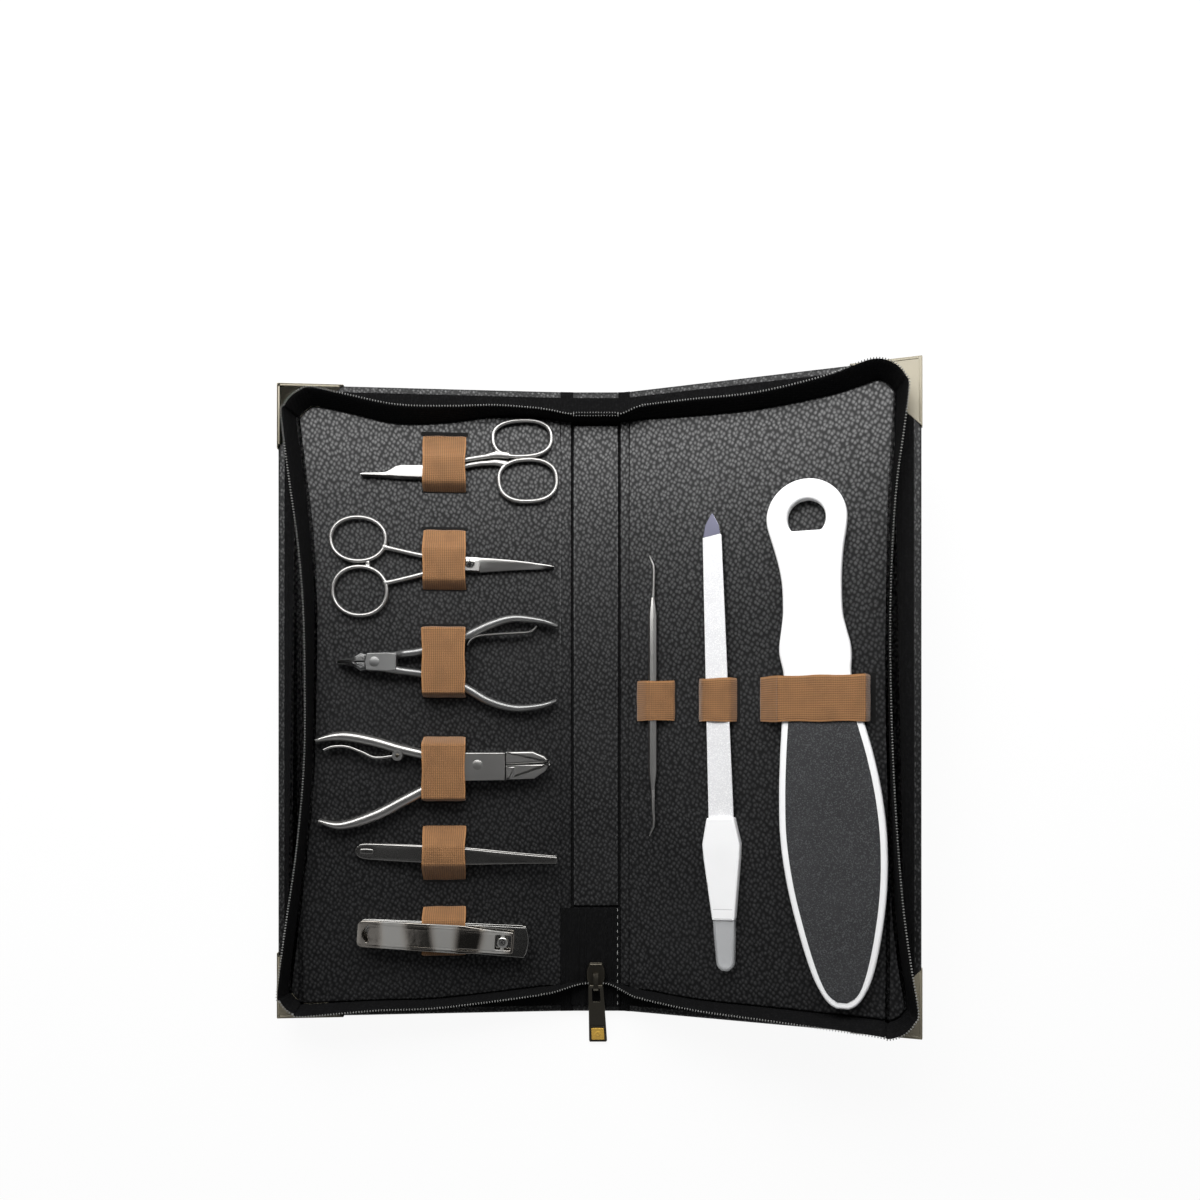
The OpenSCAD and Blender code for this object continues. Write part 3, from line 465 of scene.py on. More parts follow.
def moulded(name, colour, shine):
    f = Finish(name, colour, shine, Specular_IOR_Level=0.5)
    cloud = f.noise(40, 2)
    return f.shown(Base_Color=f.mix(cloud.between(0.35, 0.8), colour, scaled(colour, 0.95)),
                   Roughness=shine + 0.1 * cloud, Normal=f.bump(f.noise(1500, 3), 0.02))


def gritty(name, dark, pale, scale, amount, shine, depth, cloudy):
    f = Finish(name, dark, shine)
    cells = {"Vector": f.place(), "Scale": scale}
    grit, at = [f.add("ShaderNodeTexVoronoi", {"feature": "F1"}, cells, i) for i in (0, 2)]
    speck = f.add("ShaderNodeTexWhiteNoise", {"noise_dimensions": "3D"}, {"Vector": at})
    base = f.mix(f.noise(55, 4).between(0.3, 0.7), dark, scaled(dark, cloudy))
    return f.shown(Base_Color=f.mix(speck.between(1 - amount, 1), base, pale), Roughness=shine - 0.15 * speck,
                   Normal=f.bump(1 - grit, depth))


def clearPlastic(name):
    f = Finish(name, (0.72, 0.73, 0.74), 0.12, Alpha=0.34)
    return f.shown(Roughness=0.1 + 0.15 * f.noise(60, 2), Normal=f.bump(f.noise(120, 2), 0.03))


# each material slot's finishes
dressed = {
    "grained_lining": {
        "lining": pebbleLeather("grainedLining", (0.003, 0.003, 0.0032), (0.006, 0.006, 0.0062), 1.62, 0.34),
        # the flap is the lining's leather painted paler: a painted lighter copy for the light the flap catches
        "flap": pebbleLeather("flapLeatherPaintedPaler", (0.004, 0.004, 0.0042), (0.009, 0.009, 0.0092), 1.62, 0.34)},
    "cover_leather": {
        "cover": pebbleLeather("coverLeather", (0.004, 0.004, 0.0041), (0.01, 0.01, 0.0101), 1.3, 0.42, 0.12, "3D"),
        "thread": moulded("blackThread", (0.06, 0.06, 0.06), 0.6)},
    "zip_tape": {"tape": wovenBlack("zipTapeCloth", (0.0035, 0.0035, 0.0037)),
                 "paleThread": moulded("greyThread", (0.26, 0.26, 0.25), 0.6)},
    "zip_metal": {"teeth": steel("zipTeethMetal", (0.27, 0.27, 0.26), 0.4, metallic=0.4),
                  "gun": steel("gunmetal", (0.11, 0.1, 0.08), 0.36)},
    "brass_inlay": {"brass": steel("brassInlay", (0.9, 0.55, 0.1), 0.4, metallic=0.35)},
    "champagne_metal": {"cap": steel("champagneMetal", (0.3, 0.27, 0.2), 0.34, metallic=0.1)},
    "brown_elastic": {"elastic": elastic("brownElastic", (0.232, 0.109, 0.038)),
                      "paintedSlitShade": moulded("slitShade", (0.004, 0.004, 0.004), 0.9)},
    "polished_steel": {"steel": steel("polishedSteel", (0.56, 0.55, 0.53), 0.32),
                       "mirror": steel("mirrorSteel", (0.66, 0.65, 0.62), 0.09, 0.02),
                       # the tweezers' steel is painted darker than the other polished steel: painted shade for the dark
                       # surroundings it mirrors
                       "arm": steel("tweezerSteelPaintedDark", (0.36, 0.35, 0.335), 0.2, 0.02), "lever": paintedReflectionSteel("leverSteelPaintedReflections")},
    "satin_steel": {"satin": steel("satinSteel", (0.36, 0.36, 0.355), 0.4),
                    "fileGrit": gritty("fileGrit", (0.64, 0.64, 0.65), (0.8, 0.8, 0.8), 2600, 0.5, 0.6, 0.04, 1.08),
                    "tipSteel": steel("blueSteel", (0.2, 0.2, 0.27), 0.3)},
    "white_plastic": {"white": moulded("whitePlastic", (0.87, 0.87, 0.87), 0.32),
                      "greyLine": moulded("greyLine", (0.4, 0.4, 0.41), 0.5)},
    "clear_plastic": {"clear": clearPlastic("clearPlastic")},
    "black_grit": {
        "grit": gritty("blackGrit", (0.024, 0.0245, 0.026), (0.06, 0.061, 0.064), 2300, 0.4, 0.9, 0.08, 1.25)},
}
finish = {look: material for looks in dressed.values() for look, material in looks.items()}
slots = {look: slot for slot, looks in dressed.items() for look in looks}
print("finishes made:", len(finish))


# teeth and stitches, repeated along lines
def repeatTree():
    tree = bpy.data.node_groups.new("repeatAlong", "GeometryNodeTree")
    wanted = {"Line": "Geometry", "Spacing": "Float", "Item Size": "Vector", "Unevenness": "Float", "Seed": "Int",
              "Finish": "Material"}
    new = tree.interface.new_socket
    ids = {name: new(name=name, in_out="INPUT", socket_type="NodeSocket" + kind).identifier
           for name, kind in wanted.items()}
    new(name="Geometry", in_out="OUTPUT", socket_type="NodeSocketGeometry")
    made = Nodes(tree)
    add, given = made.add, {name: made.add("NodeGroupInput", output=name) for name in wanted}
    curve = add("GeometryNodeMeshToCurve", {}, {"Mesh": given["Line"]})
    even = add("GeometryNodeResampleCurve", {"mode": "LENGTH"}, {"Curve": curve, "Length": given["Spacing"]})
    ball = add("GeometryNodeMeshUVSphere", {}, {"Segments": 8, "Rings": 5, "Radius": 0.5})
    size = add("GeometryNodeTransform", {}, {"Geometry": ball, "Scale": given["Item Size"]})
    soft = add("GeometryNodeSetShadeSmooth", {}, {0: size})
    aim = add("FunctionNodeAlignRotationToVector", {"axis": "X", "pivot_axis": "Z"},
              {"Vector": add("GeometryNodeInputTangent")})
    spread = add("FunctionNodeRandomValue", {"data_type": "FLOAT"},
                 {2: 0.0, 3: given["Unevenness"], "Seed": given["Seed"]}, 1)
    items = add("GeometryNodeInstanceOnPoints", {}, {"Points": even, "Instance": soft, "Rotation": aim,
                                                     "Scale": 1 - spread})
    real = add("GeometryNodeRealizeInstances", {}, {0: items})
    painted = add("GeometryNodeSetMaterial", {}, {"Geometry": real, "Material": given["Finish"]})
    add("NodeGroupOutput", {}, {"Geometry": painted})
    return tree, ids


repeater, repeaterInputs = repeatTree()


def repeated(name, lines, place, spacing, size, look, body, stands=None, slot=None, uneven=0.0):
    mesh = bpy.data.meshes.new(name)
    points, edges = [], []
    for line in lines:
        edges += [(len(points) + i, len(points) + i + 1) for i in range(len(line) - 1)]
        points += [Vector(p) * mm for p in line]
    mesh.from_pydata(points, edges, [])
    piece = bpy.data.objects.new(name, mesh)
    scene.collection.objects.link(piece)
    modifier = piece.modifiers.new("repeat", "NODES")
    modifier.node_group = repeater
    for key, value in {"Spacing": spacing * mm, "Item Size": [s * mm for s in size], "Unevenness": uneven,
                       "Seed": 3, "Finish": finish[look]}.items():
        modifier[repeaterInputs[key]] = value
    settled(piece, [look])
    piece.data.transform(place @ Matrix.Scale(1 / mm, 4))
    if place.determinant() < 0:
        piece.data.flip_normals()
    return joined(piece, body, slot or slots[look], stands)


# zip: the line its foot follows on each panel
zipSizes = {"wallTop": 14.25, "start": 12, "cornerRound": 9, "toothPitch": 1.2, "toothSize": (0.56, 0.9, 0.9),
            "foot": 3, "crest": 13.42}
# the tape's section: height and how far it stands outside the line
tapeSection = [(3, 0.05), (3, 1.5), (3.5, 1.3), (5, 1.02), (8, 1.0), (11.4, 1.0), (12.9, 0.85), (13.4, 0.62),
               (13.4, 0.38), (12.9, 0.15), (11.4, 0), (8, 0), (5, 0)]
zipRuns = {  # each point: share of the edge, inset, outward lean
    "left": {
        "top": [(0.25, 12.1, 0.9), (0.41, 15.2, 3.2), (0.59, 16.4, 4.6), (0.76, 12, 4.2)],
        "side": [(0.68, 12.4, 4.6), (0.49, 15.2, 3.8), (0.29, 16.4, 2.6), (0.04, 16, 1.4), (-0.14, 15.5, 1),
                 (-0.29, 14.6, 1.2), (-0.49, 12, 1.4), (-0.69, 8.8, 2.2)],
        "foot": [(0.66, 6.8, 1.2), (0.47, 7, 1), (0.27, 9.2, 0.8)],
        "ends": [(12.7, 0.6), (11.6, 0.5)], "corners": [(8.9, 9.6, 4.6), (5.2, 6, 2.6)],
    },
    "right": {
        "top": [(0.28, 14.4, 3.2), (0.48, 14.4, 3), (0.7, 12, 4.2), (0.82, 9, 5.6)],
        "side": [(0.76, 10.8, 3.6), (0.58, 12.2, 1.8), (0.29, 13, 0.6), (0, 13.2, 1), (-0.3, 12.2, 1.6),
                 (-0.59, 11, 3.4), (-0.77, 8.6, 4.2)],
        "foot": [(0.86, 6.4, 3.8), (0.55, 7.4, 2.4), (0.28, 8.2, 1.4)],
        "ends": [(13.4, 2), (10.4, 0.6)], "corners": [(9.8, 7.6, 5), (5.6, 5.8, 4.2)],
    },
}


def zipLine(runs, steps=5):
    w, h, r = case["coverWidth"], case["halfHeight"], zipSizes["cornerRound"]
    turns = (84, 64, 45, 26, 6)

    def end(e, side):
        return [(zipSizes["start"], side * (h - e[0]), 0, side * e[1])]

    def edge(run, side):
        return [(p[0] * w, side * (h - p[1]), 0, side * p[2]) for p in run]

    def corner(c, side, angles):
        return [(w - c[0] - r * (1 - cosd(a)), side * (h - c[1] - r * (1 - sind(a))), c[2] * cosd(a),
                 side * c[2] * sind(a)) for a in angles]
    return smoothLine(end(runs["ends"][0], 1) + edge(runs["top"], 1) + corner(runs["corners"][0], 1, turns)
                      + [(w - p[1], p[0] * h, p[2], 0) for p in runs["side"]]
                      + corner(runs["corners"][1], -1, turns[::-1]) + edge(runs["foot"], -1)
                      + end(runs["ends"][1], -1), steps)


def wallPoint(line, i, height, off):
    lean = (height - case["coverTop"]) / (zipSizes["wallTop"] - case["coverTop"])
    p = Vector(line[i][:2]) + lean * Vector(line[i][2:]) + sideways(line, i) * off
    return (p.x, p.y, height)


cover = {"corner": 2, "edgeRound": 1.2, "margin": 2.9, "stitchInset": 2.4, "stitchPitch": 4.2, "stitchTop": 3.05,
         "stitch": (2.6, 0.42, 0.36), "liningStart": 2.7, "liningGap": 0.3}


def coverOutline(grow=0):
    w, h, s, r = case["coverWidth"] + grow, case["halfHeight"] + grow, case["coverStart"], cover["corner"]
    corners = []
    for side, angles in ((-1, range(-90, 1, 15)), (1, range(0, 91, 15))):
        corners += [(w - r + r * cosd(a), side * (h - r) + r * sind(a)) for a in angles]
    return [(s, -h)] + corners + [(s, h)]


for side in outwards:
    body, place, line, top = side + "_panel", panel(side), zipLine(zipRuns[side]), case["coverTop"]
    built(side + "_cover_leather", Shells().plate([coverOutline()], 0.35, top, cover["edgeRound"], 1.0), place, "cover",
          body, side + "_cover")
    # black cloth round the foot of the zip, out to the leather's stitched margin
    cloth = Shells().plate([coverOutline(-cover["margin"])], top - 0.2, top + 0.12, 0.1, 0)
    built(side + "_margin_cloth", cloth, place, "tape", body)
    # lining, set in from the zip
    gap, start = cover["liningGap"], cover["liningStart"]
    outline = [(start, line[0][1] - gap)] + [(Vector(p[:2]) - sideways(line, i) * gap)[:] for i, p in enumerate(line)] \
        + [(start, line[-1][1] + gap)]
    built(side + "_lining_leather", Shells().plate([outline], top, case["liningTop"], 0.7, 0), place, "lining", body,
          side + "_lining")
    # tape, with a fold at its foot and a rolled top
    wall = Shells().tunnel([[wallPoint(line, i, h, off) for h, off in tapeSection] for i in range(len(line))])
    built(side + "_zip_cloth", wall, place, "tape", body, side + "_zip_tape", smooth=60)
    crest = [wallPoint(line, i, zipSizes["crest"] + 0.3, 0.7) for i in range(len(line))]
    repeated(side + "_zip_coil", [crest], place, zipSizes["toothPitch"], zipSizes["toothSize"], "teeth", body,
             side + "_zip_teeth")
    # stitches round the cover's rim
    w, h = case["coverWidth"] - cover["stitchInset"], case["halfHeight"] - cover["stitchInset"]
    rims = ((8, h), (w - 27.6, h)), ((w, h - 29.6), (w, 29.6 - h)), ((w - 27.6, -h), (8, -h))
    repeated(side + "_rim_stitches", [[(*p, cover["stitchTop"]) for p in rim] for rim in rims], place,
             cover["stitchPitch"], cover["stitch"], "thread", body, uneven=0.3)
print("covers, linings and zip made")


def block(half, foot, head, low, high, bevel, under=None):
    return Shells().plate([twin([(half, foot), (half, head)])], low, high, bevel, under)


# spine
board = Shells().plate([rounded([(-14.2, -140), (14.2, -140), (14.2, 140), (-14.2, 140)], 1)], 0, 3, 1.1)
built("spine_leather", board, onSpine, "cover", "spine", "spine_board")
built("spine_margin_cloth", block(13.9, -137.1, 137.1, 2.8, 3.12, 0.1, 0), onSpine, "tape", "spine")
built("flap_leather", block(10.1, -92, 124.4, 3, 4.2, 0.5, 0), onSpine, "flap", "spine", "spine_flap")
tail = block(11, -137, -93, 3, 4, 0.3, 0)
for x in (-7.6, -4.6, 4.6, 7.6):
    tail.bar([(x, -136.6, 1.1), (x, -93.4, 1.1)], 3.6, 4.25, 2)
built("tail_cloth", tail, onSpine, "tape", "spine", "zip_tail")


def upTape(height):
    return (height - zipSizes["foot"]) / (zipSizes["crest"] - zipSizes["foot"])


gussets = {"at": 126.2, "low": 3, "high": 9.6}


def gussetPoint(x, height, off):
    return (x, gussets["at"] + off, gussets["low"] + upTape(height) * gussets["high"])


gusset = Shells().tunnel([[gussetPoint(x, h, off) for h, off in tapeSection] for x in (-9.9, -5, 0, 5, 9.9)])
built("top_gusset_cloth", gusset, onSpine, "tape", "spine", "top_gusset", smooth=60)
crests = [[gussetPoint(x, zipSizes["crest"] + 0.1, off) for x in (-9.8, 9.8)] for off in (-0.25, 1.15)]
repeated("top_gusset_coil", crests, onSpine, zipSizes["toothPitch"], (0.45, 0.6, 0.6), "teeth", "spine")
repeated("spine_stitches", [[(x, 121, 4.22), (x, -91, 4.22)] for x in (9.5, -9.5)], onSpine, 3.4, (2.1, 0.34, 0.3),
         "thread", "spine", slot="grained_lining", uneven=0.35)
repeated("tail_stitches", [[(9.8, -94, 4.0), (9.8, -136, 4.0)]], onSpine, 3.2, (2.3, 0.5, 0.4), "paleThread", "spine",
         uneven=0.3)


def bends(piece, side, reach):
    # the piece's place baked into its mesh; the piece lies between the spine and a panel, from one distance to another
    # off the middle
    start, end = [(outwards[side] * x * mm, 0, 2 * mm) for x in reach]
    side + "_panel"
    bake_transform(piece)
    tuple(start)
    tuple(end)


def bridge(name, side, rings, look, reach=(11.6, 15.4), slot=None, smooth=50):
    bends(built(name, Shells().tunnel(rings), Matrix.Identity(4), look, None, slot=slot, smooth=smooth), side, reach)


# sections of what bends: (x on the spine or u on the panel, height)
foldSection = [("spine", 10.2, 3.05), ("spine", 10.9, 3.05), ("spine", 11.3, 3.9), ("spine", 12.4, 4.05),
               ("panel", 0.5, 4.1), ("panel", 2.8, 4.17), ("panel", 3, 3.1), ("panel", 0.8, 2.6), ("spine", 12.6, 2.6)]
hingeSection = [("spine", 12.4, 0.4), ("spine", 13.8, 0.1), ("panel", 1.4, 0.15), ("panel", 2.8, 0.5),
                ("panel", 2.8, 1.5), ("panel", 0.8, 1.7), ("spine", 13.4, 1.7), ("spine", 12.4, 1.4)]
tailSection = [("spine", 10, 3.3), ("spine", 10, 4), ("spine", 12.4, 4.1), ("panel", 0.6, 4.3), ("panel", 2.2, 4.6),
               ("panel", 3, 4.45), ("panel", 3, 4.1), ("panel", 0.6, 3.7), ("spine", 12.4, 3.4)]
endSection = [(where, a, min(h, 3.15)) for where, a, h in foldSection]


def foldRings(side, section, v1, v2, rows):
    out, lift = outwards[side], panel(side)
    return [[Vector((out * a, v, h)) * mm if where == "spine" else lift @ Vector((a, v, h)) for where, a, h in section]
            for v in [v1 + (v2 - v1) * k / rows for k in range(rows + 1)]]


for side, out in outwards.items():
    lift, line = panel(side), zipLine(zipRuns[side])
    bridge(side + "_fold_leather", side, foldRings(side, foldSection, -127.6, 126, 24), "lining")
    bridge(side + "_hinge_leather", side, foldRings(side, hingeSection, -139.8, 139.8, 8), "cover")
    for end, at, first, inner in (("top", (125.4, 139.7), 0, 9.8), ("foot", (-139.7, -127.4), len(line) - 1, 3.4)):
        bridge(side + "_fold_" + end, side, foldRings(side, endSection, *at, 4), "tape", slot="cover_leather")

        def between(t, height, off):
            # from the wall's end on the panel to the gusset, or down to the slider
            a = lift @ Vector(wallPoint(line, first, height, off))
            b = Vector(gussetPoint(out * inner, height, off) if end == "top" else
                       (out * inner, -125.9 - off, 4.3 + upTape(height) * 2.5)) * mm
            ease = t * t * (3 - 2 * t)
            return Vector((a.x + (b.x - a.x) * t, a.y + (b.y - a.y) * ease, a.z + (b.z - a.z) * ease))
        steps, reach = [k / 10 for k in range(11)], (inner, 24.8)
        bridge(side + "_tape_" + end, side, [[between(t, h, off) for h, off in tapeSection] for t in steps], "tape",
               reach, smooth=60)
        crest = [between(t, zipSizes["crest"], 0.5) / mm for t in steps]
        bends(repeated(side + "_coil_" + end, [crest], onSpine, zipSizes["toothPitch"], zipSizes["toothSize"], "teeth",
                       None), side, reach)
bridge("left_tail_cloth", "left", foldRings("left", tailSection, -127.2, -93, 6), "tape")
print("spine made")

# corner caps: thin pressed metal over each outer corner
capSizes = {"leg": 29, "inner": {-1: 4.4, 1: 6.6}, "grow": 0.4, "edge": 0.45}
for side in outwards:
    shells = Shells()
    for end, inner in capSizes["inner"].items():
        leg, edge = capSizes["leg"], capSizes["edge"]
        x, y = case["coverWidth"] + capSizes["grow"], case["halfHeight"] + capSizes["grow"]

        def corner(*pairs):
            # distances in from the corner, sideways and along the case
            return [(x - a, end * (y - b)) for a, b in pairs]
        flange = corner((0, 0), (leg, 0), (leg - inner, inner), (inner, inner), (inner, leg - inner), (0, leg))
        rim = corner((0, leg), (0, 0), (leg, 0), (leg, edge), (edge, edge), (edge, leg))
        shells.plate([rounded(flange, 0.8)], 3.02, 3.4, 0.16)
        shells.plate([rounded(rim, 0.5)], 0.1, 3.44, 0.18)
        shells.plate([rounded(corner((0, 0), (leg, 0), (0, leg)), 0.8)], 0.02, 0.42, 0.15)
        for line in (corner((0.9, 1.6), (0.9, leg - 2)), corner((1.6, 0.9), (leg - 2, 0.9))):
            shells.bar([(*p, 0.8) for p in line], 3.2, 3.62, 2)
    built(side + "_caps_metal", shells, panel(side), "cap", side + "_panel", side + "_corner_caps")

# zip slider and pull
slider = {"low": 4.1, "high": 6.7, "hinge": (-127.4, 7.9), "drop": 15.8}
body = Shells()
outline = rounded(twin([(-2.9, -117.5), (-4.1, -120.6), (-4.2, -124), (-3.1, -128.5)]), 0.8)
body.plate([outline], slider["low"], 5.1, 0.25)
body.plate([outline], 5.5, slider["high"], 0.75, 0.2)
body.bar([(0, -118.6, 3), (0, -127.6, 3.4)], 4.6, 6.2, 4)
hoop = [(-129.2, 6.2), (-129.3, 8.4), (-128.2, 9.5), (-124.6, 9.7), (-121.6, 8.8), (-121.5, 6.4), (-122.6, 6.4),
        (-123, 8), (-125, 8.85), (-127.9, 8.75), (-128.35, 8), (-128.3, 6.2)]
body.tunnel([[(x, *p) for p in hoop] for x in (-1.1, -0.9, 0.9, 1.1)])
built("slider_body", body, onSpine, "gun", "zip_slider", "zip_slider", smooth=30)
pullPlace = onSpine @ Matrix.Translation((0, *slider["hinge"])) @ spun(slider["drop"], "X")
pull = Shells().plate([rounded(twin([(3.3, 0.5), (4.1, -26.5)]), 0.8),
                       rounded(twin([(1.9, -7.2), (1.75, -0.9)]), 0.5)], -0.5, 0.5, 0.2)
pull.warp(lambda x, y, z: (x - 0.04 * y, y * 1.05, z))
pull.turned((0, 0, 0), [(0.3, -2.6), (0.7, -2.55), (0.7, 2.55), (0.3, 2.6)], "x", 16)
for ends in (((-2.6, -20), (4.1, -20)), ((-2.7, -27.4), (4.6, -27.4)), ((-2.55, -20), (-2.45, -27.4)),
             ((4.1, -20), (4.6, -27.4))):
    pull.bar([(*p, 0.6) for p in ends], 0.4, 0.85, 2.5, 8)
built("pull_plate", pull, pullPlace, "gun", "pull_tab", "pull_tab")
plaque = Shells().plate([rounded([(-1.9, -26.6), (3.9, -26.6), (3.6, -20.8), (-2, -20.8)], 0.3)], 0.5, 0.85, 0.15, 0)
plaque.turned((0.9, -23.7, 0.8), [(1.5, 0), (1.3, 0.16), (0.7, 0.2), (0.3, 0.08), (0.01, 0.06)])
built("pull_plaque", plaque, pullPlace, "brass", "pull_tab", "pull_inlay")
print("caps and slider made")

# elastic loops: feet in slits of the lining, drawn over the tools
bandSizes = {"width": 18.8, "thick": 0.6, "crown": 0.3, "room": 0.45, "row": 54.8, "columns": 24,
             "edge": 0.24, "edgeWidth": 1.2, "ripple": 0.08, "pull": 0.18}
bands = {  # span of the feet, span over the tool, height of the tool
    "left": {"cuticle_scissors": ((93.6, 117.4), (97, 108.6), 4.15), "nail_scissors": ((50, 75.6), (53.6, 68), 4.15),
             "cuticle_nipper": ((1.8, 32.8), (3.8, 31.2), 7), "nail_nipper": ((-44.4, -16.2), (-42.6, -19.8), 7.4),
             "tweezers": ((-79.2, -56.2), (-72.4, -64), 6.8), "clipper": ((-112, -92), (-111.2, -97), 5.68)},
    "right": {"probe": ((7.2, 23.6), (12.3, 17), 3.8), "nail_file": ((35.4, 51.6), (38.2, 48.8), 3.5),
              "foot_file": ((62.6, 107.6), (70.5, 105.6), 5.6)},
}
bandWidths = {"probe": 17.6, "foot_file": 19.3}
slitMiddle = {"left": -18, "right": -14}    # the painted slit shade of feet away from here is drawn wider, as the slits show more by the camera's view
seeds = {"left": (1.3, 0), "right": (2.1, 0.7)}


def band(tool, side, span, held, toolTop, seed):
    low, width, columns = case["liningTop"], bandWidths.get(tool, bandSizes["width"]), bandSizes["columns"]
    top = low + bandSizes["room"] + toolTop
    rise, fall = [[(foot + way * 0.3, low - 0.3), (foot + way * 0.4, low + 0.4), (over - way * 0.6, top - 0.75),
                   (over + way * 1.6, top + 0.1)] for foot, over, way in zip(span, held, (1, -1))]
    path = smoothLine(rise + [(sum(held) / 2, top + bandSizes["crown"])] + fall[::-1], 6)
    path = [(x, max(y, low - 0.3)) for x, y in path]
    rings, weave, run = [], [], 0
    for i, (x, y) in enumerate(path):
        n = sideways(path, i)
        run += math.dist(path[i], path[i - 1]) if i else 0
        ring = []
        for k in list(range(columns + 1)) + list(range(columns, -1, -1)):
            across, lift = (k / columns - 0.5) * width, 0
            if len(ring) <= columns:    # the outer face, thinner at its edges and softly rippled
                edge = 1 - min(1, (width / 2 - abs(across)) / bandSizes["edgeWidth"])
                ripple = bandSizes["ripple"] * math.sin(across * 0.55 + seed) * math.sin(run * 0.5 + seed * 2)
                lift = bandSizes["thick"] - bandSizes["edge"] * edge + ripple
            pull = bandSizes["pull"] * math.sin(run * 0.33 + seed) * across / 10
            p = Vector((x, y)) + n * lift
            ring.append((p.x, across + pull, p.y))
            weave.append((across / width * bandSizes["width"], run))
        rings.append(ring)
    shells, row = Shells().tunnel(rings, weave=weave), bandSizes["row"]
    if side == "left":
        shells.warp(lambda x, y, z: (row + y, x, z))
    shells.colour = 1
    for foot, way in zip(span, (-1, 1)):     # the slit that each foot goes into, drawn as a near-black bar of painted shade
        show = max(0, way * (foot - slitMiddle[side]) * 0.009)
        at, half = foot + way * (0.35 + show), width / 2 + 0.5
        line = [(row + end, at, 1.7 + show) if side == "left" else (at, end, 1.7 + show) for end in (-half, half)]
        shells.bar(line, low - 0.3, low + 0.06, 2.2, 8)
    built(tool + "_loop_band", shells, panel(side), ["elastic", "paintedSlitShade"], side + "_panel", tool + "_loop", smooth=60)


for side, row in bands.items():
    for number, (tool, sizes) in enumerate(row.items()):
        band(tool, side, *sizes, seeds[side][0] * number + seeds[side][1])
print("elastic loops made")


def layered(line, pivot, clear, full, own, soften=2.5):
    # thick away from the pivot, and down to the half's own layer beside it
    result = []
    for p in line:
        t = min(max((math.dist(p[:2], pivot) - clear) / soften, 0), 1)
        t = t * t * (3 - 2 * t)
        result.append((*p[:3], *(a + (b - a) * t for a, b in zip(own, full))))
    return result


# scissors: each half's ring (centre, radii, squareness, turn, thickness) and its shank
scissors = {
    "cuticle_scissors": {
        "pivot": (60.6, 100.9), "clear": 8.6,
        "blade": [(53.5, 104, 99, 98.6), (56, 104.3, 98.9, 98.5), (73.6, 104, 99.2, 98.5), (76.2, 103.4, 99.3, 98.6),
                  (78, 102.2, 99.4, 98.7), (80, 101, 99.4, 98.9), (81.6, 100.6, 99.4, 99), (86, 100.4, 99.5, 99.2),
                  (90.6, 100.2, 99.6, 99.4), (91.4, 99.9, 99.6, 99.5)],
        "upper": (((20.3, 117.3), (14, 9), 2.5, -4, 2), [
            (26.5, 109.6, 3.2), (31.6, 109.9, 3.4), (36, 109, 2.4), (40, 108.3, 2.2), (47, 106.8, 2.2),
            (54.4, 103.6, 2.4)]),
        "lower": (((17.8, 98.6), (13.9, 10.3), 2.4, -3, 2), [
            (27.4, 105.6, 3.4), (32, 106.3, 2.8), (36, 106, 2.3), (40, 105.6, 2.2), (47, 104, 2.2),
            (54.4, 100.9, 2.4)]),
    },
    "nail_scissors": {
        "pivot": (43.5, 61.2), "clear": 9,
        "blade": [(52, 63.5, 58, 57.6), (45, 63.8, 57.9, 57.5), (39.6, 63.6, 57.8, 57.3), (39, 63.6, 60.9, 57.4),
                  (34, 63.4, 61.5, 57.8), (26, 62.8, 61.4, 58.5), (18, 62, 61, 59), (12, 61.2, 60.6, 59.3),
                  (8, 60.6, 60.2, 59.6), (6, 60.1, 60, 59.8)],
        "upper": (((92.5, 71.3), (12.9, 10.6), 2.1, 0, 1.9), [
            (81.6, 67.9, 2.6), (77, 67, 2.1), (64.7, 64.4, 2.2), (51.6, 62.9, 2.4)]),
        "lower": (((91.8, 48.4), (12.7, 11.7), 2.1, 0, 1.9), [
            (81.2, 52, 2.6), (77, 52.8, 2.1), (64.7, 56, 2.2), (51.6, 59.5, 2.4)]),
        "stop": [(88.4, 61.4, 2.2), (88.3, 58.4, 2.2)],
    },
}


# heights of a ring, and of each half's own layer at the pivot
layers = {"ring": (0.6, 2.9), "upper": (0.0, 1.68), "lower": (1.82, 3.5)}


def scissorsHalf(tool, body, data, half):
    (centre, radii, power, turn, thick), shank = data[half]
    name, form, (low, high) = tool + "_" + half + "_half", Shells(), layers[half]
    ring = oval(centre, [r - thick / 2 for r in radii], 80, power, turn)
    form.bar([(*p, thick) for p in ring], *layers["ring"], 2.1, 14, closed=True)
    form.bar(layered(smoothLine(shank, 6), data["pivot"], data["clear"], layers["ring"], layers[half]), power=2.4)
    if half == "lower" and "stop" in data:
        form.bar(data["stop"], 0.9, 2.6, 2.2)
    built(name + "_form", form, onLeft, "steel", body, name, fuse=0.22)
    # the blade: (u, top edge, ridge, cutting edge), ground from the ridge down to the cutting edge
    blade = Shells().tunnel([[
        (u, top, low), (u, top, high - 0.3), (u, top + (ridge - top) * 0.12, high - 0.05),
        (u, top + (ridge - top) * 0.3, high), (u, ridge, high), (u, foot, low + (high - low) * 0.3), (u, foot, low),
    ] for u, top, ridge, foot in data["blade"]])
    built(name + "_blade", blade, onLeft, "steel", body, smooth=30)


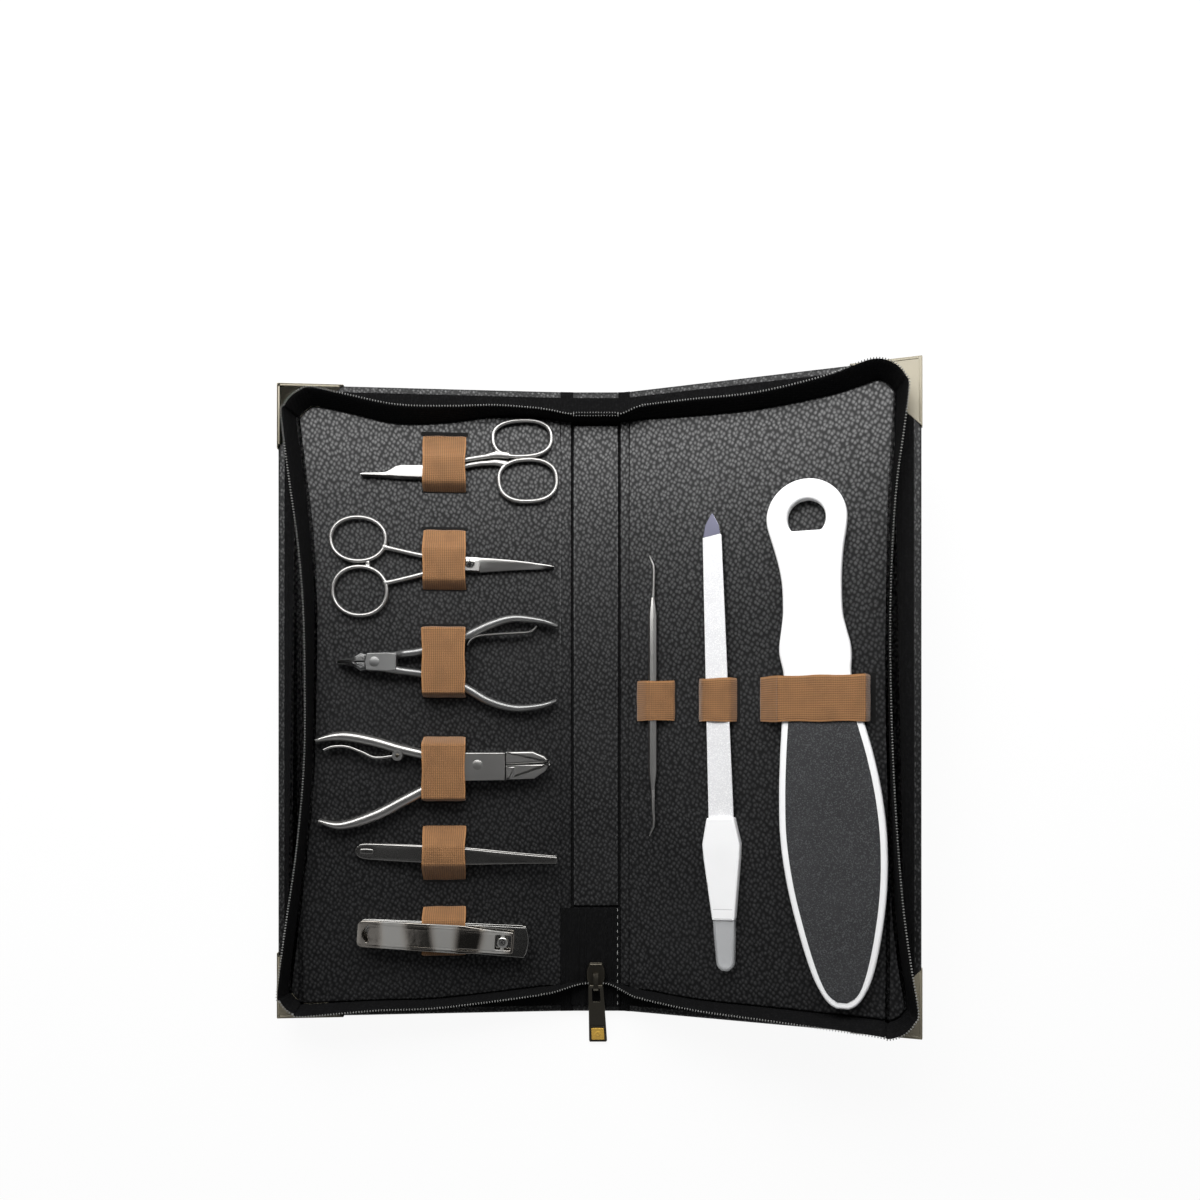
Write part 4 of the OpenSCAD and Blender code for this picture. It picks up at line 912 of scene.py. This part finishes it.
screwForm = [(0.01, 0), (1.5, 0), (1.5, 3.52), (2.2, 3.55), (2.3, 3.7), (2.2, 3.98), (1.9, 4.12), (0.01, 4.15)]
for tool, data in scissors.items():
    scissorsHalf(tool, tool, data, "upper")
    scissorsHalf(tool, tool + "_blade", data, "lower")
for tool, data in scissors.items():
    x, y = data["pivot"]
    screw = Shells().turned((x, y, 0), screwForm)
    # the screw's slot: a raised near-black bar of painted shade
    screw.colour = 1
    screw.bar([(x, y - 1.9, 0.5), (x, y + 1.9, 0.5)], 3.9, 4.17, 6, 8, dome=0)
    built(tool + "_screw_head", screw, onLeft, ["mirror", "paintedSlitShade"], tool, tool + "_screw")
print("scissors made")

# nippers: each half's handle, and its forms at the head as outline, from, to, rounding
nippers = {
    "cuticle_nipper": {
        "thick": 7, "clear": 9, "pivot": (84.8, 16.8), "look": "satin", "top": "lower",
        "box": [(75.4, 13.2), (79, 12.7), (88.4, 13.1), (88.9, 16.8), (88, 20.6), (79, 20.9), (75.4, 20.5)],
        "upper": ([(4.8, 33.3, 1.8), (12, 35.6, 2.6), (24.3, 36.7, 3.2), (35, 33.6, 3.6), (44.8, 28.8, 3.8),
                   (54, 25, 3.8), (64, 21.9, 3.6), (72, 20.7, 3.4), (80, 19.6, 3.4)], [
            ([(88.4, 16.7), (88.2, 13.6), (91, 12.9), (93.8, 14.8), (94.6, 16), (101.4, 16.3), (101.4, 16.7)],
             0.8, 5.6, 0.5),
            ([(89, 16.6), (88.8, 14.3), (91, 13.7), (93.2, 15.4), (93.8, 16.5)], 4, 6.6, 0.5)]),
        "lower": ([(5.2, 0.1, 1.8), (12, -2.2, 2.6), (23.5, -3.2, 3.2), (35, -0.2, 3.6), (44.8, 5.4, 3.8),
                   (54, 9.4, 3.8), (64, 11.8, 3.6), (72, 12.9, 3.4), (80, 14, 3.4)], [
            ([(88.4, 16.9), (101.4, 16.9), (101.4, 17.3), (94.6, 17.6), (93.8, 18.9), (91, 20.7), (88.2, 20)],
             0.8, 5.6, 0.5),
            ([(89, 17), (93.8, 17.1), (93.2, 18.2), (91, 19.9), (88.8, 19.4)], 4, 6.6, 0.5)]),
    },
    "nail_nipper": {
        "thick": 7.4, "clear": 12.4, "pivot": (40, -28.4), "look": "steel", "top": "upper", "lugs": (75, -24.2, 0),
        "box": [(28, -35.1), (46, -35.3), (49.4, -34), (49.4, -24.2), (46, -23), (28, -23)],
        "upper": ([(110.2, -17.6, 2), (103, -16, 3.6), (95.7, -16, 4.4), (84.4, -18.3, 4.4), (74.6, -21.2, 4.4),
                   (60.9, -24.4, 4.4), (52, -26, 4.4), (45, -27, 4.4)], [
            ([(27.6, -35), (27.6, -28.5), (8, -27.8), (10, -31.2), (15, -34.6)], 0.6, 6.9, 0.8),
            ([(26.4, -34.2), (26.4, -29.2), (23.4, -29.1), (23.4, -34.1)], 5, 7.15, 0.5)]),
        "lower": ([(109, -52.8, 2), (99.3, -54.9, 3.8), (84.4, -50.4, 4.8), (72, -44, 4.8), (60.9, -38.2, 4.6),
                   (52, -34, 4.6), (45, -31.6, 4.6)], [
            ([(27.6, -28.2), (27.6, -22.5), (15.6, -22.4), (10.4, -24.6), (8, -27.3)], 0.6, 6.9, 0.8),
            ([(27.9, -30), (29.3, -30), (29.3, -26.6), (27.9, -26.6)], 5, 7.1, 0.2)]),
    },
}
seam = 0.07
for tool, data in nippers.items():
    thick = data["thick"]
    for half in ("upper", "lower"):
        name, body, own = tool + "_" + half + "_half", tool, (0, thick / 2 - seam)
        if half == data["top"]:
            body, own = tool + "_handle", (thick / 2 + seam, thick)
        handle, head = data[half]
        shells = Shells().bar(layered(smoothLine(handle, 6), data["pivot"], data["clear"], (1.2, thick - 1.2),
                                      (own[0], own[1] - 0.15), 4), power=2.2, sides=20)
        if half == "upper" and "lugs" in data:
            for low in (1.2, 4.8):
                shells.turned(data["lugs"], [(0.01, low), (2.3, low), (2.4, low + 0.2), (2.4, low + 1.2),
                                             (2.3, low + 1.4), (0.01, low + 1.4)])
        shells.plate([rounded(data["box"], 0.5)], *own, 0.35, 0.12)
        for form, low, high, bevel in head:
            shells.plate([rounded(form, 0.25)], low, high, bevel, 0.12)
        built(name + "_form", shells, onLeft, data["look"], body, name, smooth=32)
for tool, data in nippers.items():
    top = data["thick"]
    rivet = Shells().turned((*data["pivot"], 0), [(0.01, 0.01), (2.1, 0.01), (2.2, 0.2), (2.2, top), (2.1, top + 0.05),
                                                  (0.01, top + 0.06)])
    built(tool + "_rivet_head", rivet, onLeft, data["look"], tool, tool + "_rivet")
leaf = Shells().bar(smoothLine([(14, 33.2, 1), (15.6, 31.4, 1), (18, 30.5, 1), (24, 30.1, 1), (34, 29.4, 1),
                                (40, 28.6, 1), (43, 27, 1), (44.4, 24.6, 0.9)], 6), 2, 5, 3, 12)
built("cuticle_nipper_spring_leaf", leaf, onLeft, "steel", "cuticle_nipper", "cuticle_nipper_spring")
leaf = Shells().bar(smoothLine([(76.2, -24.4, 1), (84.7, -25.2, 1), (90.5, -22.8, 1), (97.1, -20.4, 1),
                                (103, -20.4, 1), (107, -21.8, 1)], 6), 2.7, 4.7, 6, 12)
leaf.turned(nippers["nail_nipper"]["lugs"], [(1, 2.72), (2, 2.72), (2, 4.68), (1, 4.68)])
built("nail_nipper_spring_leaf", leaf, onLeft, "steel", "nail_nipper_handle", "nail_nipper_spring")
pin = Shells().turned(nippers["nail_nipper"]["lugs"], [(0.01, 1.22), (0.9, 1.22), (0.9, 6.2), (0.7, 6.35), (0.01, 6.4)],
                      sides=20)
built("nail_nipper_spring_rivet", pin, onLeft, "gun", "nail_nipper_handle", "nail_nipper_spring_pin", "polished_steel")
print("nippers made")

# tweezers: the arms' outline, and how far the upper one stands off the lower one along it
tweezers = {
    "outline": [(93.6, -66.3, 1.6), (92.6, -66.3, 4.6), (90.4, -66.4, 6.6), (84, -66.8, 7.2), (60, -68, 7.4),
                (44, -68.9, 7), (30, -69.6, 5.4), (15, -70.3, 3.8), (5.2, -70.8, 3)],
    "rise": [(3, 4), (18, 4.3), (36, 4.3), (56, 3.4), (72, 1.9), (86, 0.4), (95, 0.15)], "thick": 1.2,
}


def lookup(table, at):
    for (a, b), (c, d) in zip(table, table[1:]):
        if at <= c:
            return b + (d - b) * max(at - a, 0) / (c - a)
    return table[-1][1]


arm, thick = smoothLine(tweezers["outline"], 6), tweezers["thick"]
lowerArm = Shells().bar(arm, 0.0, thick, 5, 20, dome=0.3)
lowerArm.bar([(88, -69.6, 1.5), (88, -63.4, 1.5)], 0.9, 1.9, 2)
built("tweezers_lower_form", lowerArm, onLeft, "arm", "tweezers", "tweezers_lower_arm", smooth=60)
rises = [lookup(tweezers["rise"], p[0]) for p in arm]
upperArm = Shells().bar([(*p, thick + rise, 2 * thick + rise) for p, rise in zip(arm, rises)], power=4, sides=24,
                        dome=0.3)
upperArm.bar([(91.2, -66.4, 2.2, 2.2, 2.95), (89, -66.5, 2.6, 2.3, 3.05), (86.4, -66.6, 2.2, 2.4, 3.05)], power=2,
             sides=24, dome=0.6)
built("tweezers_upper_form", upperArm, onLeft, "arm", "tweezers_arm", "tweezers_upper_arm", smooth=60)

# nail clipper, in its own frame: x from the rear end to the jaws
clipper = {"length": 75.4, "rear": 11, "jaw": 13.4, "bulge": 1.6, "rearX": 6, "pinX": 64, "lowest": 2.25, "slope": 2.9,
           "axle": 9.19}
clipperPlace = seated("left", (92.8, -101.6), 184.2)


def leafOutline(start=None):
    a, b, length = clipper["rear"] / 2, clipper["jaw"] / 2, clipper["length"]
    jaws = [(length - clipper["bulge"] * t * t, b * t) for t in [k / 6 - 1 for k in range(13)]]
    if start is None:
        return [(3 + 3 * cosd(d), a * sind(d)) for d in range(90, 271, 15)] + jaws
    return [(start, b * 0.98), (start, -b * 0.98)] + jaws


lower = Shells().plate([leafOutline()], 0.6, 1.9, 0.25)
lower.plate([leafOutline(clipper["length"] - 3)], 1.0, 3.45, 0.3)
built("clipper_lower_form", lower, clipperPlace, "mirror", "clipper", "clipper_lower_leaf")
upper = Shells().plate([leafOutline(), oval((clipper["pinX"], 0), (2.1, 2.1), 24)], 0, 1.3, 0.25)
upper.plate([leafOutline(clipper["length"] - 3)], -1.0, 1.2, 0.3)
upper.warp(lambda x, y, z: (x, y, z + clipper["lowest"] + max(x - clipper["rearX"], 0)
                            * math.tan(math.radians(clipper["slope"]))))
built("clipper_upper_form", upper, clipperPlace, "mirror", "clipper_jaw", "clipper_upper_leaf")
rivet = [(0.01, 0), (2.2, 0.02), (2.4, 0.3), (2.3, 0.58), (1.5, 0.6), (1.5, 3.6), (2.4, 3.75), (2.3, 4.1), (1.2, 4.3),
         (0.01, 4.32)]
pin = [(0.01, 0), (2.5, 0.05), (2.5, 0.5), (1.8, 0.55), (1.8, 6.9), (2.5, 7.2), (2.6, 8.4), (2.3, 10), (1.5, 10.45),
       (0.01, 10.5)]
for node, at, form, body in (("clipper_rivet", "rearX", rivet, "clipper"), ("clipper_pin", "pinX", pin, "clipper_pin")):
    built(node + "_form", Shells().turned((clipper[at], 0, 0), form), clipperPlace, "mirror", body, node)
window = [(60.7, -3.2), (67.7, -3.2), (67.7, 3.2), (60.7, 3.2)]
crescent = ribbon(smoothLine([(5.4, -3.4, 1), (4, 0, 2.4), (5.4, 3.4, 1)], 6))
outline = [(0.8, -4.4), (2.4, -5.8), (46, -6.2), (57, -5.2), (68.8, -4.7)]
outline += [(x, -y) for x, y in outline[::-1]]
dense = []
for a, b in zip(outline, outline[1:] + outline[:1]):
    n = max(1, int(math.dist(a, b) / 3))
    dense += [(a[0] + (b[0] - a[0]) * k / n, a[1] + (b[1] - a[1]) * k / n) for k in range(n)]
lever = Shells().plate([rounded(dense, 1.2), rounded(window, 0.8), crescent], 0, 1.3, 0.35)
rise = [(0, 6.83), (57, 7.73), (60, clipper["axle"] - 0.7), (70, clipper["axle"] - 0.7)]
lever.warp(lambda x, y, z: (x, y, z * (1 + 0.23 * min(max((x - 57) / 3, 0), 1)) + lookup(rise, x)))
lever.turned((clipper["pinX"], 0, clipper["axle"]), [(0.01, -4.4), (0.9, -4.4), (0.9, 4.4), (0.01, 4.4)], "y", 16)
built("clipper_lever_form", lever, clipperPlace, "lever", "clipper_lever", "clipper_lever")
print("tweezers and clipper made")

# probe: an eight-sided shaft and two slim ends, each with a small hook
shaft = [(-39.6, 1.6, 1.1, 2.7), (-31.6, 3.8, 0.1, 3.7), (-20, 3.8, 0, 3.8), (20, 3.8, 0, 3.8), (37.7, 3.8, 0.1, 3.7),
         (45.7, 1.6, 1.1, 2.7)]
probe = Shells().bar([(14.6, *p) for p in shaft], power=2.0, sides=8, dome=0)
for way, far in ((1, 62.4), (-1, 58)):
    probe.bar([(14.6, way * 36, 1.9), (14.9, way * 48, 1.3), (15.2, way * (far - 5), 1.1), (14.9, way * (far - 2), 1.1),
               (14, way * far, 0.9), (13.2, way * (far + 2), 0.6)], 1.3, 2.5, 2, 12)
built("probe_form", probe, onRight, "steel", "probe", "probe", "satin_steel", smooth=30)

# nail file, in its own frame: y from the handle's mouth to the tip
filePlace = seated("right", (45.6, -50.9), 1.86)
blade = Shells().plate([[(-5.5, -1), (5.5, -1), (4.1, 122.8), (-4.1, 121.6)]], 2.5, 3.5, 0.18)
blade.colour = 1
blade.plate([[(-4.1, 121.4), (4, 122.6), (3.2, 126.6), (0.7, 131.8), (0.1, 131.8), (-2.9, 127)]], 2.55, 3.42, 0.3)
blade.colour = 2
blade.bar([(4.0, 122.4, 0.6), (3.3, 126.6, 0.6), (0.7, 131.8, 0.4)], 2.5, 3.55, 3, 8)
blade.plate([twin([(4, -12), (4, 0.5)])], 2.55, 3.45, 0.1)
built("nail_file_steel", blade, filePlace, ["fileGrit", "tipSteel", "mirror"], "nail_file", "nail_file_blade")
handle = twin([(5.9, 0), (8.2, -11.4), (7.8, -18), (5.1, -42), (4.9, -44.3)])
grip = Shells().plate([rounded(handle, 0.9)], 0, 6, 0.8, 0.8)
grip.colour = 1
for y in (-39.4, -43.4):
    half = lookup([(-44, 4.9), (-42, 5.1), (-18, 7.8)], y) - 1.17
    grip.bar([(-half, y, 0.35), (half, y, 0.35)], 5.5, 6.03, 3, 8, dome=0)
built("nail_file_grip", grip, filePlace, ["white", "greyLine"], "nail_file", "nail_file_handle", smooth=24)
pusher = twin([(2.2, -37.9), (2.2, -53.9), (2.5, -57.9), (1.6, -61.5)])
built("nail_file_pusher_form", Shells().plate([rounded(pusher, 0.8)], 2.5, 3.5, 0.3), filePlace, "steel", "nail_file",
      "nail_file_pusher")
hood = Shells()
for w, mouth, foot, low, high, bevel in ((4.9, -43.9, -66.3, 0.5, 5.5, 1.2), (4, -44.6, -65.2, 1.3, 4.7, 0.9)):
    curve = [(w * cosd(a) * 0.8, foot + w * 0.8 * (1 - sind(a))) for a in range(0, 91, 15)]
    side = [(w, mouth), (w * 0.93, mouth - 8)] + curve
    hood.plate([wound(side + [(-x, y) for x, y in side[-2::-1]])], low, high, bevel)
built("nail_file_hood", hood, filePlace, "clear", "nail_file_cap", "nail_file_cap")

# foot file: (middle, height, width) down its form
footFile = {"rim": 2.8, "low": 0.3, "high": 5.3, "head": (82.1, 75.7), "headRadius": 16.7, "hole": 8}
hx, hy = footFile["head"]
form = [(hx, hy + footFile["headRadius"] * sind(a), 2 * footFile["headRadius"] * cosd(a))
        for a in (86, 80, 72, 62, 50, 38, 26, 14, 2)]
form += [(82.2, 72.6, 32.8), (82.5, 68.6, 31.2), (82.8, 64.8, 29.4), (83.1, 61.4, 28), (83.8, 54, 25.6),
         (84.3, 46, 24.4), (84.6, 36, 24.6), (85, 29, 26.8), (85.4, 23.6, 29), (85.6, 20, 29.7), (85.9, 16.6, 29.3),
         (86.4, 11, 27.8), (86.9, 5, 28.4), (87.6, 0, 30), (88.7, -10, 33.6), (90.4, -25, 38.6), (91.9, -42, 42.4),
         (93.1, -60, 43.6), (94.5, -80, 40.4), (95.8, -100, 33), (96.6, -115, 25), (96.9, -123, 17.8),
         (97, -127.4, 11.2), (97, -129.2, 5)]
hole = [(hx + footFile["hole"] * cosd(a), hy + footFile["hole"] * sind(a)) for a in range(-40, 221, 10)]
paddle = Shells().plate([upright(smoothLine(form, 4)), rounded(wound(hole), 1.2)], footFile["low"],
                        footFile["high"], 1.1)
built("foot_file_body", paddle, onRight, "white", "foot_file", "foot_file_paddle", smooth=50)
padLine = [(*p[:2], max(p[2] - 2 * footFile["rim"], 0.6)) for p in form if p[1] < 6][:-2]
padLine.append((96.9, -126.3, 9.4 - 2 * footFile["rim"]))
for name, low, high in (("foot_file_front_pad", 4.9, 5.6), ("foot_file_back_pad", 0, 0.7)):
    pad = Shells().plate([upright(smoothLine(padLine, 4))], low, high, 0.18)
    built(name + "_grit", pad, onRight, "grit", "foot_file", name)
print("files made")

# floor, light and camera
floorMesh = bpy.data.meshes.new("floor")
floorMesh.from_pydata([(x, y, -0.0004) for x, y in ((-3, -3), (3, -3), (3, 3), (-3, 3))], [], [(0, 1, 2, 3)])
floor = bpy.data.objects.new("floor", floorMesh)
scene.collection.objects.link(floor)
f = Finish("paleFloor", (0.98, 0.98, 0.98), 0.9, Specular_IOR_Level=0.1)
seen = [f.add("ShaderNodeLightPath", output="Is " + ray + " Ray") for ray in ("Camera", "Glossy", "Transmission")]
shown = (seen[0] + seen[1] + seen[2]).maths("MINIMUM", 1.0) * 0.93
glow = f.add("ShaderNodeEmission", {}, {"Color": (1, 1, 1), "Strength": 1.0})
mixed = f.add("ShaderNodeMixShader", {}, {0: shown, 1: Wire(f, f.shader.outputs[0]), 2: glow})
f.feed(f.tree.nodes["Material Output"].inputs["Surface"], mixed)
floorMesh.materials.append(f.material)

sky = {"overhead": 0.015, "patch": 0.34, "low": 0.25, "seen": 1.0, "colour": (0.97, 0.98, 1)}
world = bpy.data.worlds.new("studio")
world.use_nodes = True
air = Nodes(world.node_tree)
way = air.add("ShaderNodeTexCoord", output="Generated")
fade = air.split(way, "Z").between(0.55, 0.95, sky["low"], sky["overhead"])
# a few paler patches overhead, as of a ceiling, for the polished pieces to mirror
ceiling = air.add("ShaderNodeTexNoise", {}, {"Vector": way, "Scale": 9, "Detail": 1})
patches = ceiling.between(0.57, 0.63, 0, sky["patch"])
choice = air.add("ShaderNodeMix", {"data_type": "FLOAT"}, {
    0: air.add("ShaderNodeLightPath", output="Is Camera Ray"), 2: fade.maths("MAXIMUM", patches), 3: sky["seen"]})
air.feed(air.tree.nodes["Background"].inputs["Strength"], choice)
air.feed(air.tree.nodes["Background"].inputs["Color"], sky["colour"])
scene.world = world

lamps = {  # place, aimed at, size, watts
    "topBox": ((0, 0.34, 0.36), (0, 0.05, 0), (0.8, 0.3), 3.2),
    "sideBox": ((-0.35, 0.85, 0.7), (0.06, -0.02, 0), (0.8, 0.8), 9.8),
}
for name, (at, target, size, power) in lamps.items():
    lamp = bpy.data.lights.new(name, "AREA")
    lamp.shape, lamp.size, lamp.size_y, lamp.energy = "RECTANGLE", size[0], size[1], power
    holder = bpy.data.objects.new(name, lamp)
    scene.collection.objects.link(holder)
    holder.location = at
    holder.rotation_euler = (Vector(target) - Vector(at)).to_track_quat("-Z", "Y").to_euler()
    holder.visible_camera = False
    holder.visible_glossy = name != "sideBox"

view = {"above": (0, -18.1, 454.7), "lens": 30, "shift": (0.0035, 0.118)}
camera = bpy.data.objects.new("camera", bpy.data.cameras.new("camera"))
scene.collection.objects.link(camera)
camera.location = Vector(view["above"]) * mm
camera.data.lens = view["lens"]
camera.data.sensor_width = 36
camera.data.shift_x, camera.data.shift_y = view["shift"]
camera.data.clip_start = 0.01
scene.camera = camera
scene.view_settings.view_transform = "Standard"
